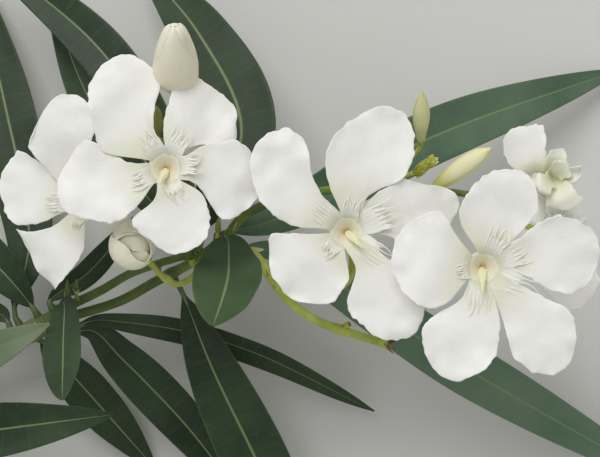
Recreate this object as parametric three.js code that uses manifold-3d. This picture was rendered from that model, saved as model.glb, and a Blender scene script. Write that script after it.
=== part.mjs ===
// A cut flowering branch of a white oleander, lying with its blooms upwards.
// Millimetres, +Z up, and z = 0 is the surface that the branch lies on. Every place below is given
// in a plan of the branch seen from above: x runs right, y runs away and z is the height.

import * as THREE from 'three';
import { mergeVertices } from 'three/addons/utils/BufferGeometryUtils.js';
import Module from 'manifold-3d';

const wasm = await Module();
wasm.setup();

// Driving dimensions of the whole branch
const PLAN_MIDDLE = [-25, -19, 0]; // the middle of the branch's plan
const CLEARANCE = 0.3; // between a limb's bark and what it carries
const MAIN_RADII = [3.4, 2.6]; // woody stem, at its cut and at its fork
const STALK_RADII = [1.3, 1.0]; // green flower stalks, at their start and their tip

// Driving dimensions of the leaves
const LEAF_SLIMNESS = 100; // a leaf's length over its thickness
const LEAF_MIN_THICKNESS = 1.0;
const LEAF_STATIONS = 12;
const LEAF_FOLD = 0.18; // rise of the margins over the midrib, per half width
const LEAF_TIP_HALF_WIDTH = 0.3;
const PETIOLE_HALF_WIDTH = 1.1;
const PETIOLE_SHARE = 0.05; // of the leaf's length

// Driving dimensions of the flowers
const PETAL_THICKNESS = 0.7;
const PETAL_STATIONS = [0, 0.22, 0.45, 0.66, 0.83, 0.95, 1];
const PETAL_COLUMNS = [-1, -0.4, 0.4, 1];
const PETAL_BROADEST = 0.66; // share of the length where a petal is broadest
const PETAL_FOOT = 0.28; // a petal's width at its foot, per its full width
const PETAL_SWELL = 1.6; // how late a petal widens
const PETAL_ROUNDNESS = 2.4; // of a petal's tip
const THROAT_RADIUS = 4.2; // where the petals leave the corolla tube
const PETAL_ROOT = 3.3; // where their feet end, inside the tube's wall
const TUBE_LENGTH = 13;
const TUBE_WALL = 0.8; // at its thickest
const TUBE_FOOT_RADIUS = 1.1;
const TUBE_SIDES = 8;
const TUBE_LIP = 0.25; // its height over the petals' feet
const CALYX_LENGTH = 4;
const CALYX_RADIUS = 2.0;
const CALYX_SIDES = 6;
const PEDICEL_RADIUS = 0.85;
const PEDICEL_SIDES = 6;
const PEDICEL_STEPS = 4;
const CORONA_LENGTH = 5;
const CORONA_HALF_WIDTH = 1.9;
const CORONA_THICKNESS = 0.5;
const CORONA_RISE = 24; // degrees
const CORONA_OUTLINE = [ // shares of the length and of half the width
  [0, -1], [0.9, -1.25], [0.62, -0.4], [1, 0.1], [0.62, 0.6], [0.86, 1.25], [0, 1],
];
const ANTHER_LEAN = [0.3, -1.2]; // how far the anther cone's tip leans

// Colours and shine of the wood, leaves and flowers
const WOOD = { color: 0x6f7a45, roughness: 0.7, metalness: 0 };
const GREEN_STEM = { color: 0x73853a, roughness: 0.6, metalness: 0 };
const LEAF_GREEN = { color: 0x3f5f45, roughness: 0.5, metalness: 0 };
const PETAL_WHITE = { color: 0xf0f0ee, roughness: 0.6, metalness: 0 };
const BUD_CREAM = { color: 0xe6e0c4, roughness: 0.6, metalness: 0 };
const BUD_YELLOW = { color: 0xd9d48e, roughness: 0.6, metalness: 0 };

const UP = new THREE.Vector3(0, 0, 1);
const lerp = THREE.MathUtils.lerp;
const radians = THREE.MathUtils.degToRad;
const vec = (place) => new THREE.Vector3(...place);

const branch = new THREE.Group();
branch.position.copy(vec(PLAN_MIDDLE)).negate();

function add(name, geometry, look) {
  const facets = geometry.toNonIndexed();
  facets.computeVertexNormals();
  const mesh = new THREE.Mesh(facets, new THREE.MeshStandardMaterial(look));
  mesh.name = name;
  branch.add(mesh);
}

function meshOf(positions, faces) {
  const geometry = new THREE.BufferGeometry();
  geometry.setAttribute('position', new THREE.Float32BufferAttribute(positions, 3));
  geometry.setIndex(faces);
  return geometry;
}

// A closed skin over a row of rings with the same number of points. Each ring runs anticlockwise
// seen from the next one, and a strip of faces closes it at either end.
function skin(rings) {
  const n = rings[0].length;
  const faces = [];
  for (let i = 0; i < rings.length - 1; i++) {
    for (let j = 0; j < n; j++) {
      const a = i * n + j;
      const b = i * n + ((j + 1) % n);
      faces.push(a, b, a + n, b, b + n, a + n);
    }
  }
  const last = (rings.length - 1) * n;
  for (let k = 0; k < n / 2 - 1; k++) {
    const [a, b, c, d] = [k, k + 1, n - 2 - k, n - 1 - k];
    faces.push(a, c, b, a, d, c);
    faces.push(last + a, last + b, last + c, last + a, last + c, last + d);
  }
  return meshOf(rings.flat().flatMap((p) => p.toArray()), faces);
}

const circle = (radius, z, sides) => Array.from({ length: sides }, (_, j) => {
  const turn = (2 * Math.PI * j) / sides;
  return new THREE.Vector3(radius * Math.cos(turn), radius * Math.sin(turn), z);
});

// A ring of points round a centre, in the plane of two directions.
const ringRound = (centre, first, second, radius, sides) => circle(radius, 0, sides).map((p) => (
  centre.clone().addScaledVector(first, p.x).addScaledVector(second, p.y)
));

// Rings drawn round the z axis, carried to their place on the branch and skinned.
const carried = (rings, place) => skin(rings.map((ring) => ring.map((p) => p.applyMatrix4(place))));

const turned = (profile, sides, place) => carried(profile.map(([r, z]) => circle(r, z, sides)), place);

// The place of a flower or bud: its throat or foot, and the way that it faces.
function placeOf(centre, face) {
  const z = vec(face).normalize();
  const x = new THREE.Vector3(1, 0, 0).addScaledVector(z, -z.x).normalize();
  return new THREE.Matrix4().makeBasis(x, z.clone().cross(x), z).setPosition(vec(centre));
}

function solidOf(geometry) {
  const plain = geometry.clone();
  plain.deleteAttribute('normal');
  plain.deleteAttribute('uv');
  const merged = mergeVertices(plain, 1e-4);
  const vertProperties = new Float32Array(merged.attributes.position.array);
  const triVerts = new Uint32Array(merged.index.array);
  return new wasm.Manifold(new wasm.Mesh({ numProp: 3, vertProperties, triVerts }));
}

// Joins pieces into one body. Of the closed shells that come out it keeps the largest, which fills
// a hollow that the pieces seal between them.
function fuse(geometries) {
  const whole = geometries.map(solidOf).reduce((joined, piece) => joined.add(piece));
  const { numProp, vertProperties, triVerts } = whole.getMesh();
  const corners = [];
  const shellOf = [];
  const number = new Map();
  const faces = Array.from(triVerts, (i) => {
    const p = vertProperties.slice(i * numProp, i * numProp + 3);
    const key = p.join();
    if (!number.has(key)) {
      number.set(key, corners.length);
      shellOf.push(corners.length);
      corners.push(vec(p));
    }
    return number.get(key);
  });
  const shell = (i) => (shellOf[i] === i ? i : shell(shellOf[i]));
  const triangles = [];
  for (let t = 0; t < faces.length; t += 3) {
    const [a, b, c] = faces.slice(t, t + 3);
    shellOf[shell(b)] = shell(a);
    shellOf[shell(c)] = shell(a);
    triangles.push([a, b, c]);
  }
  const volumes = new Map();
  for (const [a, b, c] of triangles) {
    const volume = corners[a].dot(corners[b].clone().cross(corners[c])) / 6;
    volumes.set(shell(a), (volumes.get(shell(a)) ?? 0) + volume);
  }
  const largest = [...volumes.keys()].reduce((a, b) => (volumes.get(b) > volumes.get(a) ? b : a));
  const kept = triangles.filter(([a]) => shell(a) === largest).flat();
  const used = [...new Set(kept)];
  const renumbered = new Map(used.map((old, i) => [old, i]));
  return meshOf(used.flatMap((i) => corners[i].toArray()), kept.map((i) => renumbered.get(i)));
}

// A point of a route: the way on, the side to its left and the side over it, which is the one that
// the sky is on.
function frameAt(curve, t, sky = UP) {
  const along = curve.getTangentAt(t);
  const left = sky.clone().cross(along).normalize();
  return { at: curve.getPointAt(t), along, left, over: along.clone().cross(left) };
}

// A round limb that tapers along a smooth route, which may begin at a seat on another limb.
function limb(name, look, route, [startRadius, endRadius], { sides = 8, steps = 14, from } = {}) {
  const start = from ? [from.place, from.place.clone().addScaledVector(from.out, 1.5)] : [];
  const curve = new THREE.CatmullRomCurve3([...start, ...route.map(vec)], false, 'centripetal');
  const radiusAt = (t) => lerp(startRadius, endRadius, t);
  const rings = Array.from({ length: steps + 1 }, (_, i) => {
    const { at, left, over } = frameAt(curve, i / steps);
    return ringRound(at, left, over, radiusAt(i / steps), sides);
  });
  add(name, skin(rings), look);
  return { curve, radiusAt };
}

// A place on a limb's bark, just clear of it. Around is 0 over the limb and 90 at its left.
function seat(carrier, t, around) {
  const { at, left, over } = frameAt(carrier.curve, t);
  const turn = radians(around);
  const out = over.multiplyScalar(Math.cos(turn)).addScaledVector(left, Math.sin(turn));
  const place = at.clone().addScaledVector(out, carrier.radiusAt(t) + CLEARANCE);
  return { place, out };
}

// How broad an oleander leaf is along its length, from 0 to 1.
const leafOutline = (s) => Math.sin(Math.PI * s ** 0.85) ** 0.75;

// A narrow blade, sunk along the midrib above and keeled below, on a short stalk. Roll turns the
// middle of the blade about its length, in degrees. The tip's height is that of its underside. A
// blade that starts upwards has its upper face towards the stem, as in a leaf bud.
function leaf(name, { on, at, around, petiole = 3, through, tip, width, roll = 0 }) {
  const { place, out } = seat(on, at, around);
  const thickness = Math.max(LEAF_MIN_THICKNESS, place.distanceTo(vec(tip)) / LEAF_SLIMNESS);
  const stalkEnd = place.clone().addScaledVector(out, petiole);
  const tipPoint = vec(tip).addScaledVector(UP, thickness);
  const route = [place, stalkEnd, ...through.map(vec), tipPoint];
  const curve = new THREE.CatmullRomCurve3(route, false, 'centripetal');
  const outwards = tipPoint.clone().sub(place).setZ(0).normalize();
  const sky = UP.clone().addScaledVector(outwards, -out.z);
  const rings = Array.from({ length: LEAF_STATIONS + 1 }, (_, i) => {
    const t = i / LEAF_STATIONS;
    const { at: centre, along, left, over } = frameAt(curve, t, sky);
    const turn = radians(roll) * Math.sin(Math.PI * t);
    left.applyAxisAngle(along, turn);
    over.applyAxisAngle(along, turn);
    const s = Math.max(0, (t - PETIOLE_SHARE) / (1 - PETIOLE_SHARE));
    const narrowest = lerp(PETIOLE_HALF_WIDTH, LEAF_TIP_HALF_WIDTH, t);
    const blade = i === LEAF_STATIONS ? 0 : (width / 2) * leafOutline(s);
    const half = Math.max(narrowest, blade);
    const rise = LEAF_FOLD * half * Math.min(1, 4 * s);
    const point = (u, h) => centre.clone().addScaledVector(left, u * half).addScaledVector(over, h);
    return [
      point(-1, rise - thickness / 2),
      point(0, -thickness),
      point(1, rise - thickness / 2),
      point(1, rise + thickness / 2),
      point(0, thickness / 2),
      point(-1, rise + thickness / 2),
    ];
  });
  add(name, skin(rings), LEAF_GREEN);
}

// A petal's half width along its length, per half its full width: a round or a sharp tip.
function petalSwell(s, sharp) {
  if (s < PETAL_BROADEST) {
    return lerp(PETAL_FOOT, 1, Math.sin((Math.PI / 2) * (s / PETAL_BROADEST)) ** PETAL_SWELL);
  }
  const narrowing = (s - PETAL_BROADEST) / (1 - PETAL_BROADEST);
  const round = Math.sqrt(Math.max(0.02, 1 - narrowing ** PETAL_ROUNDNESS));
  return lerp(round, 1 - 0.92 * narrowing, sharp);
}

// A petal in its flower's own frame. It points at the angle turn and lifts towards its tip, which
// curls back. Its margins cup, and it is twisted as a propeller's blade is.
function petal({ turn, reach, width, lift = 0, curl = 1, twist = 0.7, cup = 0.6, sharp = 0 }, place) {
  const rings = PETAL_STATIONS.map((s) => {
    const swell = petalSwell(s, sharp);
    const out = lerp(PETAL_ROOT, reach, s);
    const point = (u, thick) => {
      const rise = lift * Math.sin((Math.PI / 2) * s) - curl * s ** 3;
      const height = rise + (twist * u + cup * (u * u - 0.4)) * swell * s + thick;
      const place = new THREE.Vector3(out, (u * swell * width) / 2, height);
      return place.applyAxisAngle(UP, radians(turn));
    };
    const under = PETAL_COLUMNS.map((u) => point(u, -PETAL_THICKNESS / 2));
    const top = PETAL_COLUMNS.map((u) => point(u, PETAL_THICKNESS / 2)).reverse();
    return [...under, ...top];
  });
  return carried(rings, place);
}

// One scale of the corona, which stands at a petal's foot and ends in three teeth.
function coronaScale(turn, place) {
  const shape = new THREE.Shape(CORONA_OUTLINE.map(([x, y]) => (
    new THREE.Vector2(x * CORONA_LENGTH, y * CORONA_HALF_WIDTH)
  )));
  const scale = new THREE.ExtrudeGeometry(shape, { depth: CORONA_THICKNESS, bevelEnabled: false });
  scale.rotateY(-radians(CORONA_RISE));
  scale.translate(PETAL_ROOT, 0, -CORONA_THICKNESS);
  scale.rotateZ(radians(turn));
  return scale.applyMatrix4(place);
}

// The corolla tube: a wall that opens as a funnel, with its foot in the calyx.
function corollaTube(length, place) {
  const rim = THROAT_RADIUS + 0.3;
  return turned([
    [TUBE_FOOT_RADIUS, -length],
    [2, -length * 0.6],
    [rim - 0.6, -length * 0.2],
    [rim, TUBE_LIP],
    [rim - TUBE_WALL - 0.3, TUBE_LIP],
    [rim - TUBE_WALL - 0.8, -length * 0.2],
    [1, -length * 0.55],
  ], TUBE_SIDES, place);
}

// The pale cone of joined anthers that stands in the throat.
function antherCone(length, place) {
  const profile = [[0.9, -length * 0.6, 0], [1.6, -length * 0.2, 0.3], [1.3, -0.5, 0.7], [0.4, 1.6, 1]];
  const tip = new THREE.Vector3(...ANTHER_LEAN, 0);
  return carried(profile.map(([r, z, lean]) => (
    circle(r, z, 6).map((p) => p.addScaledVector(tip, lean))
  )), place);
}

// The cup of sepals round the foot of a flower or bud.
function calyx(foot, scale, place) {
  const [radius, height] = [scale * CALYX_RADIUS, scale * CALYX_LENGTH];
  return turned([
    [0.45 * radius, foot - 0.7 * height],
    [radius, foot - 0.2 * height],
    [0.85 * radius, foot + 0.4 * height],
  ], CALYX_SIDES, place);
}

// A flower's own stalk, from inside its calyx to its seat on the limb that carries it. Pull and
// push say how far it runs straight at either end.
function pedicel(foot, { on, at, around, pull = 6, push = 6, radius = PEDICEL_RADIUS }, place) {
  const start = new THREE.Vector3(0, 0, foot).applyMatrix4(place);
  const down = new THREE.Vector3(0, 0, -1).transformDirection(place);
  const { place: end, out } = seat(on, at, around);
  const first = start.clone().addScaledVector(down, pull);
  const second = end.clone().addScaledVector(out, push);
  const curve = new THREE.CubicBezierCurve3(start, first, second, end);
  const { normals, binormals } = curve.computeFrenetFrames(PEDICEL_STEPS, false);
  return skin(normals.map((normal, i) => (
    ringRound(curve.getPointAt(i / PEDICEL_STEPS), normal, binormals[i], radius, PEDICEL_SIDES)
  )));
}

// A flower: petals and corona round the tube, the anthers in it, its calyx and its stalk.
function bloom(name, { centre, face, petals, open = true, length = TUBE_LENGTH, stalk }) {
  const place = placeOf(centre, face);
  const pieces = [corollaTube(length, place), calyx(-length, 1, place)];
  pieces.push(pedicel(-length - CALYX_LENGTH / 2, stalk, place), antherCone(length, place));
  for (const shape of petals) {
    pieces.push(petal(shape, place));
    if (open) pieces.push(coronaScale(shape.turn, place));
  }
  add(name, fuse(pieces), PETAL_WHITE);
}

// A bud: a body of five furled lobes, given by shares of its height and of its radius.
function bud(name, look, { base, tip, radius, profile, lobes = 0, twist = 0, sides = 8, cup, stalk }) {
  const height = vec(base).distanceTo(vec(tip));
  const place = placeOf(base, vec(tip).sub(vec(base)).toArray());
  const rings = profile.map(([share, broad]) => (
    circle(radius * broad, height * share, sides).map((p, j) => {
      const turn = (2 * Math.PI * j) / sides - twist * share;
      const lobe = 1 + lobes * Math.cos(5 * turn) * Math.sin(Math.PI * share);
      return new THREE.Vector3(p.x * lobe, p.y * lobe, p.z);
    })
  ));
  add(name, fuse([carried(rings, place), calyx(0, cup, place), pedicel(-cup, stalk, place)]), look);
}

// The woody stem, from its flat cut to its fork
const mainStem = limb('main_stem', WOOD, [
  [-160.5, -76.2, 3.4], [-141.4, -65.4, 4.5], [-123.5, -55.3, 7.5], [-102.2, -43.6, 14],
  [-81, -32, 22], [-64.5, -23.3, 29],
], MAIN_RADII, { sides: 10, steps: 12 });

// The two green stalks of the fork, side by side on the woody stem's end
const forkGap = 0.7;
const forkSpread = 1.45;
const fork = frameAt(mainStem.curve, 1);
const forkAt = (aside) => (
  fork.at.clone().addScaledVector(fork.along, forkGap).addScaledVector(fork.left, aside).toArray()
);
const leftStalk = limb('left_flower_stalk', GREEN_STEM, [
  forkAt(forkSpread), [-54.7, -17.1, 33], [-46.1, -12.3, 37], [-37.6, -9.3, 41], [-28.4, -6.6, 44],
], STALK_RADII);
const leftTip = limb('left_flower_stalk_tip', GREEN_STEM, [
  [-27.4, -5.9, 44.2], [-26.2, -1.7, 45], [-28.8, 10.3, 45.5], [-31.5, 19.6, 46], [-33.6, 26, 46],
], [1.0, 0.9], { steps: 12 });
const joiningStem = limb('joining_stem', GREEN_STEM, [
  forkAt(-forkSpread), [-49.4, -19.9, 31], [-39.6, -14.6, 34], [-30.1, -9.6, 37], [-23.5, -5.3, 39],
  [-20.2, -2.8, 40],
], [1.3, 1.4]);

// The stalks of the right blooms, and the looped stalk of the left side bloom
const rightStalk = limb('right_flower_stalk', GREEN_STEM, [
  [-19.7, -2.2, 40.2], [-15.4, 3.1, 41], [-6.7, 7.4, 42.5], [5.4, 10, 44], [16, 10.5, 46],
  [24.6, 10.5, 48],
], STALK_RADII);
const rightTip = limb('right_flower_stalk_tip', GREEN_STEM, [
  [25.1, 10.5, 48], [37.3, 10, 46], [48.1, 8.5, 44], [56.2, 6, 43],
], [1.0, 0.8], { steps: 8 });
const lowerStalk = limb('lower_flower_stalk', GREEN_STEM, [
  [-14.5, -6, 41], [-9.9, -10, 43.5], [-6.7, -14.8, 46], [-2.7, -19.5, 47], [4, -24.2, 48],
  [11.9, -27.2, 48], [23.1, -30.6, 48],
], [1.2, 1.1], { steps: 18, from: seat(joiningStem, 0.93, -100) });
const loopStalk = limb('looped_stalk', GREEN_STEM, [
  [-27, -10.5, 44.5], [-29.6, -13.6, 45], [-32.9, -14.8, 45.5], [-36.6, -12.7, 45.5],
  [-40.2, -9, 44], [-45.6, -3.1, 42.5], [-49.8, 1.7, 43],
], [0.85, 0.8], { sides: 6, steps: 18, from: seat(leftStalk, 0.97, -100) });

// Leaves of the whorls just below the fork
leaf('leaf_fork_raised', { on: mainStem, at: 0.975, around: -25,
  through: [[-62.5, -28, 50]], tip: [-59.4, -42.6, 77], width: 12.5 });
leaf('leaf_fork_lower', { on: mainStem, at: 0.93, around: -130,
  through: [[-53, -31, 22], [-37, -48, 16]], tip: [-14.5, -80, 8], width: 13.5 });
leaf('leaf_fork_right', { on: mainStem, at: 0.97, around: -105,
  through: [[-48, -26.5, 25], [-34, -28.2, 24], [-13.5, -34.5, 20]], tip: [21.5, -52.7, 5],
  width: 8.5, roll: 30 });
leaf('leaf_fork_left', { on: mainStem, at: 0.84, around: 100, petiole: 2.5,
  through: [[-86, -23, 19]], tip: [-121, -38, 8], width: 12 });
leaf('leaf_fork_upper_left', { on: mainStem, at: 0.93, around: 80, petiole: 4,
  through: [[-85, -9, 28]], tip: [-112, 10, 12], width: 13 });
leaf('leaf_fork_top', { on: mainStem, at: 0.87, around: 95, petiole: 4,
  through: [[-76, -4, 20], [-84, 35, 12]], tip: [-97, 80, 0], width: 17 });
leaf('leaf_fork_behind', { on: mainStem, at: 0.975, around: 85, petiole: 2,
  through: [[-58, -12, 31]], tip: [-44, 4, 33], width: 7 });
leaf('leaf_fork_low_behind', { on: mainStem, at: 0.88, around: -140, petiole: 4,
  through: [[-66, -40, 14]], tip: [-42, -70, 0], width: 13 });

// Leaves of the whorl low on the woody stem
leaf('leaf_low_right', { on: mainStem, at: 0.36, around: -95,
  through: [[-96, -57.5, 23]], tip: [-50.4, -50.3, 37], width: 16 });
leaf('leaf_low_along', { on: mainStem, at: 0.38, around: 20, petiole: 4,
  through: [[-92, -37, 38]], tip: [-65.4, -25, 53], width: 13.5 });
leaf('leaf_low_left', { on: mainStem, at: 0.34, around: 110, petiole: 4,
  through: [[-138, -34, 9]], tip: [-146, -2, 0], width: 16 });

// Leaves at the bend of the left flower stalk, which lie behind its blooms
leaf('leaf_left_stalk_top', { on: leftTip, at: 0.2, around: 100,
  through: [[-33, 12, 38], [-54, 48, 29]], tip: [-92, 80, 18], width: 14 });
leaf('leaf_left_stalk_side', { on: leftStalk, at: 0.95, around: 85,
  through: [[-44, 12, 35], [-61, 40, 19]], tip: [-73, 70, 6], width: 11 });

// Leaves of the whorl where the two right stalks part
leaf('leaf_whorl_raised', { on: joiningStem, at: 0.9, around: -20, petiole: 2,
  through: [[-17.6, -9.5, 62]], tip: [-21.3, -23.9, 83], width: 18.4 });
leaf('leaf_whorl_upper_right', { on: joiningStem, at: 0.95, around: 150,
  through: [[-8, 2, 34], [35, 24.6, 28]], tip: [94, 46.5, 0], width: 15.5 });
leaf('leaf_whorl_lower_right', { on: joiningStem, at: 0.9, around: -150,
  through: [[-8, -6, 32], [49.4, -41, 20]], tip: [112, -77, 0], width: 15 });
leaf('leaf_whorl_behind', { on: joiningStem, at: 0.84, around: 100,
  through: [[-16, 26, 32], [-28, 54, 20]], tip: [-46, 76, 8], width: 20 });
leaf('leaf_long_lower', { on: joiningStem, at: 0.63, around: -110,
  through: [[-24.5, -38, 28], [-12.5, -64, 22]], tip: [11, -118, 0], width: 18.5 });

// The open flowers
bloom('bloom_left_front', { centre: [-34, 15.2, 72], face: [0, 0.05, 1],
  petals: [
    { turn: 122, reach: 31, width: 19, lift: 2 },
    { turn: 54, reach: 25, width: 18.5, lift: 2 },
    { turn: -13, reach: 24, width: 19, lift: -1 },
    { turn: -84, reach: 21.5, width: 19.5, lift: 1 },
    { turn: 193, reach: 28.5, width: 20, lift: 1 },
  ],
  stalk: { on: leftTip, at: 0.82, around: 20 } });
bloom('bloom_left_side', { centre: [-58.1, 3, 60], face: [-0.3, -0.08, 1],
  petals: [
    { turn: 99, reach: 32, width: 18, lift: 2 },
    { turn: 35, reach: 15, width: 12, lift: -2 },
    { turn: -30, reach: 9, width: 8, lift: -2 },
    { turn: 236, reach: 20.5, width: 21, lift: 1, sharp: 0.5 },
    { turn: 157, reach: 22, width: 20, lift: 1 },
  ],
  stalk: { on: loopStalk, at: 0.97, around: 20, pull: 3, push: 3 } });
bloom('bloom_middle', { centre: [11.8, -0.9, 72], face: [0, 0, 1],
  petals: [
    { turn: 135, reach: 30, width: 19, lift: 3 },
    { turn: 72, reach: 33, width: 22, lift: 2 },
    { turn: 16, reach: 29, width: 18, lift: -1 },
    { turn: -56, reach: 29, width: 18, lift: 2 },
    { turn: 220, reach: 21, width: 20, lift: 2 },
  ],
  stalk: { on: lowerStalk, at: 0.8, around: 40 } });
bloom('bloom_right_front', { centre: [45.8, -9.8, 77], face: [0, 0, 1],
  petals: [
    { turn: 171, reach: 23, width: 25, lift: 3 },
    { turn: 74, reach: 25, width: 18.5, lift: 2 },
    { turn: 11, reach: 29, width: 17.5, lift: 2 },
    { turn: -51, reach: 32, width: 16, lift: 2 },
    { turn: 250, reach: 28.5, width: 19.4, lift: 2 },
  ],
  stalk: { on: lowerStalk, at: 0.97, around: 20 } });
bloom('bloom_right_back', { centre: [63.6, 3.2, 55], face: [0.2, 0, 1], length: 10,
  petals: [
    { turn: -10, reach: 11, width: 12, lift: 1 },
    { turn: -79, reach: 25, width: 14, lift: 3 },
    { turn: -139, reach: 17, width: 14 },
    { turn: 165, reach: 14, width: 12, lift: -1 },
    { turn: 45, reach: 8, width: 7, lift: -1 },
  ],
  stalk: { on: rightTip, at: 0.95, around: -90, pull: 2, push: 2 } });

// The flower that is half open, with one petal spread
bloom('bloom_right_opening', { centre: [64.1, 12, 61], face: [0.55, 0.25, 0.8], length: 10, open: false,
  petals: [
    { turn: 129, reach: 17, width: 15, lift: -2 },
    { turn: 66, reach: 10, width: 7, lift: 3, sharp: 1 },
    { turn: 22, reach: 10.5, width: 7, lift: 3, sharp: 1 },
    { turn: -25, reach: 10.5, width: 9, lift: 3, sharp: 1 },
    { turn: -70, reach: 8, width: 8, lift: 3, sharp: 1 },
  ],
  stalk: { on: rightTip, at: 0.85, around: 10, pull: 2, push: 2 } });

// Buds, from the large furled ones to the small green ones
const LARGE_BUD = [
  [0, 0.2], [0.2, 0.27], [0.36, 0.62], [0.52, 0.94], [0.66, 1], [0.8, 0.86], [0.92, 0.52], [0.98, 0.26],
];
const FURLED_BUD = [
  [0, 0.24], [0.16, 0.4], [0.34, 0.86], [0.54, 1], [0.74, 0.92], [0.9, 0.62], [0.97, 0.25],
];
const SLIM_BUD = [[0, 0.4], [0.2, 0.66], [0.42, 0.96], [0.6, 1], [0.8, 0.68], [0.98, 0.14]];
const SMALL_BUD = [[0, 0.5], [0.3, 0.95], [0.6, 1], [0.98, 0.2]];
bud('bud_upright', BUD_CREAM, { base: [-31.8, 30.2, 57], tip: [-30.9, 51.5, 75], radius: 5.6,
  profile: LARGE_BUD, lobes: 0.06, twist: 1, sides: 12, cup: 0.8,
  stalk: { on: leftTip, at: 0.98, around: 30, pull: 3, push: 3 } });
bud('bud_half_open', BUD_CREAM, { base: [-43.5, -0.5, 51], tip: [-42.8, -6.2, 68], radius: 6,
  profile: FURLED_BUD, lobes: 0.06, twist: 2, sides: 12, cup: 0.8,
  stalk: { on: loopStalk, at: 0.84, around: 0, pull: 2, push: 2 } });
bud('bud_slim_upright', BUD_YELLOW, { base: [32.3, 20.4, 58], tip: [29.9, 35.1, 66], radius: 2.1,
  profile: SLIM_BUD, lobes: 0.05, twist: 1, sides: 10, cup: 0.6,
  stalk: { on: rightStalk, at: 0.98, around: 60, pull: 3, push: 3, radius: 0.6 } });
bud('bud_slim_slanting', BUD_YELLOW, { base: [35.2, 10.8, 57], tip: [48.7, 20.4, 64], radius: 2.9,
  profile: SLIM_BUD, lobes: 0.05, twist: 1, sides: 10, cup: 0.7,
  stalk: { on: rightTip, at: 0.1, around: 20, pull: 2, push: 3, radius: 0.6 } });
bud('bud_green_tuft', GREEN_STEM, { base: [30.5, 14.4, 55], tip: [35.5, 19, 61], radius: 1.9,
  profile: SMALL_BUD, lobes: 0.1, sides: 10, cup: 0.6,
  stalk: { on: rightStalk, at: 0.93, around: 20, pull: 2, push: 2, radius: 0.6 } });
bud('bud_small_left', GREEN_STEM, { base: [-37.3, 24.9, 55], tip: [-37, 31.5, 61], radius: 1.3,
  profile: SMALL_BUD, cup: 0.5,
  stalk: { on: leftTip, at: 0.93, around: 80, pull: 2, push: 2, radius: 0.6 } });

// Young shoots in the axils at the fork and at the whorl
bud('shoot_fork_left', GREEN_STEM, { base: [-63.4, -18.5, 35], tip: [-63, -14, 39], radius: 1.2,
  profile: SMALL_BUD, cup: 0.5,
  stalk: { on: mainStem, at: 0.985, around: 30, pull: 1, push: 1, radius: 0.6 } });
bud('shoot_fork_right', GREEN_STEM, { base: [-58.6, -17.4, 37], tip: [-58, -14, 40], radius: 1.0,
  profile: SMALL_BUD, cup: 0.5,
  stalk: { on: leftStalk, at: 0.12, around: 30, pull: 1, push: 1, radius: 0.5 } });
bud('shoot_whorl', GREEN_STEM, { base: [-22, -0.5, 43], tip: [-21.6, 2.6, 46], radius: 0.9,
  profile: SMALL_BUD, cup: 0.4,
  stalk: { on: joiningStem, at: 0.97, around: 30, pull: 1, push: 1, radius: 0.5 } });

export default branch;
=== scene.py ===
import math
import random

import bpy
from mathutils import Matrix, Vector, geometry, noise


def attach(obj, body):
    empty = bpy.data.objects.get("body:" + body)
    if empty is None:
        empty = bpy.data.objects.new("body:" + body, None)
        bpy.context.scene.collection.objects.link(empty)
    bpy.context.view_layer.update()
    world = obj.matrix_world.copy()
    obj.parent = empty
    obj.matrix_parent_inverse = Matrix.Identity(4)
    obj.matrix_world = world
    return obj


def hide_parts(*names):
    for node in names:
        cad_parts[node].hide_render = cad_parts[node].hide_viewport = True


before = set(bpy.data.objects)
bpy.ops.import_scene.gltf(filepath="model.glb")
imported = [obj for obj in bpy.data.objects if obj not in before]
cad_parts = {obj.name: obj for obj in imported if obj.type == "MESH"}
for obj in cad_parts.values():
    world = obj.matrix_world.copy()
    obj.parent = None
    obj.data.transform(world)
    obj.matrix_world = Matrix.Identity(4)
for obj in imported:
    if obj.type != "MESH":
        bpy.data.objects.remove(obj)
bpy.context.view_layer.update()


# The branch lies on a plain pale board, under the even light of a bright overcast sky. The camera
# hangs half a metre over the middle of the plan and looks straight down on the blooms.
MM = 0.001
PLAN_MIDDLE = Vector((-25, -19, 0))
CAMERA_HEIGHT = 525
FILM_WIDTH = 36
LENS_LENGTH = 108
NEAREST_SIGHT = 0.01
BOARD_SIDE = 6.0
SKY_COLOUR = (1, 1, 0.98, 1)
SKY_LIGHT = 0.52
PANEL_SIDE = 1.4
PANEL_POWER = 26.0
PANEL_PLACE = Vector((-0.55, 1.35, 1.75))
TISSUE_DEPTH = 2
TISSUE_COLOUR = (1, 1, 0.8)


def metres(place):
    """A place of the plan, in millimetres, as a place of the scene."""
    return (Vector(place) - PLAN_MIDDLE) * MM


def tint(colour):
    """A colour as the eye reads it, 0 to 255, as a shader's colour. A tone stays as it is."""
    if isinstance(colour, Tone):
        return colour
    return (*((channel / 255) ** 2.2 for channel in colour), 1)


class Tone:
    """A number that the shader works out at each point. Sums on it are written as in Python."""

    def __init__(self, paint, socket):
        self.paint = paint
        self.socket = socket

    def sum(self, operation, *values):
        return self.paint.node("Math", dict(enumerate(values)), operation=operation)

    def __add__(self, other):
        return self.sum("ADD", self, other)

    def __sub__(self, other):
        return self.sum("SUBTRACT", self, other)

    def __rsub__(self, other):
        return self.sum("SUBTRACT", other, self)

    def __mul__(self, other):
        return self.sum("MULTIPLY", self, other)

    def __abs__(self):
        return self.sum("ABSOLUTE", self)

    __radd__ = __add__
    __rmul__ = __mul__

    def between(self, low, high):
        """0 where the tone is under low, 1 where it is over high, and smooth between them."""
        values = {"Value": self, "From Min": low, "From Max": high}
        return self.paint.node("MapRange", values, interpolation_type="SMOOTHSTEP")


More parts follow.
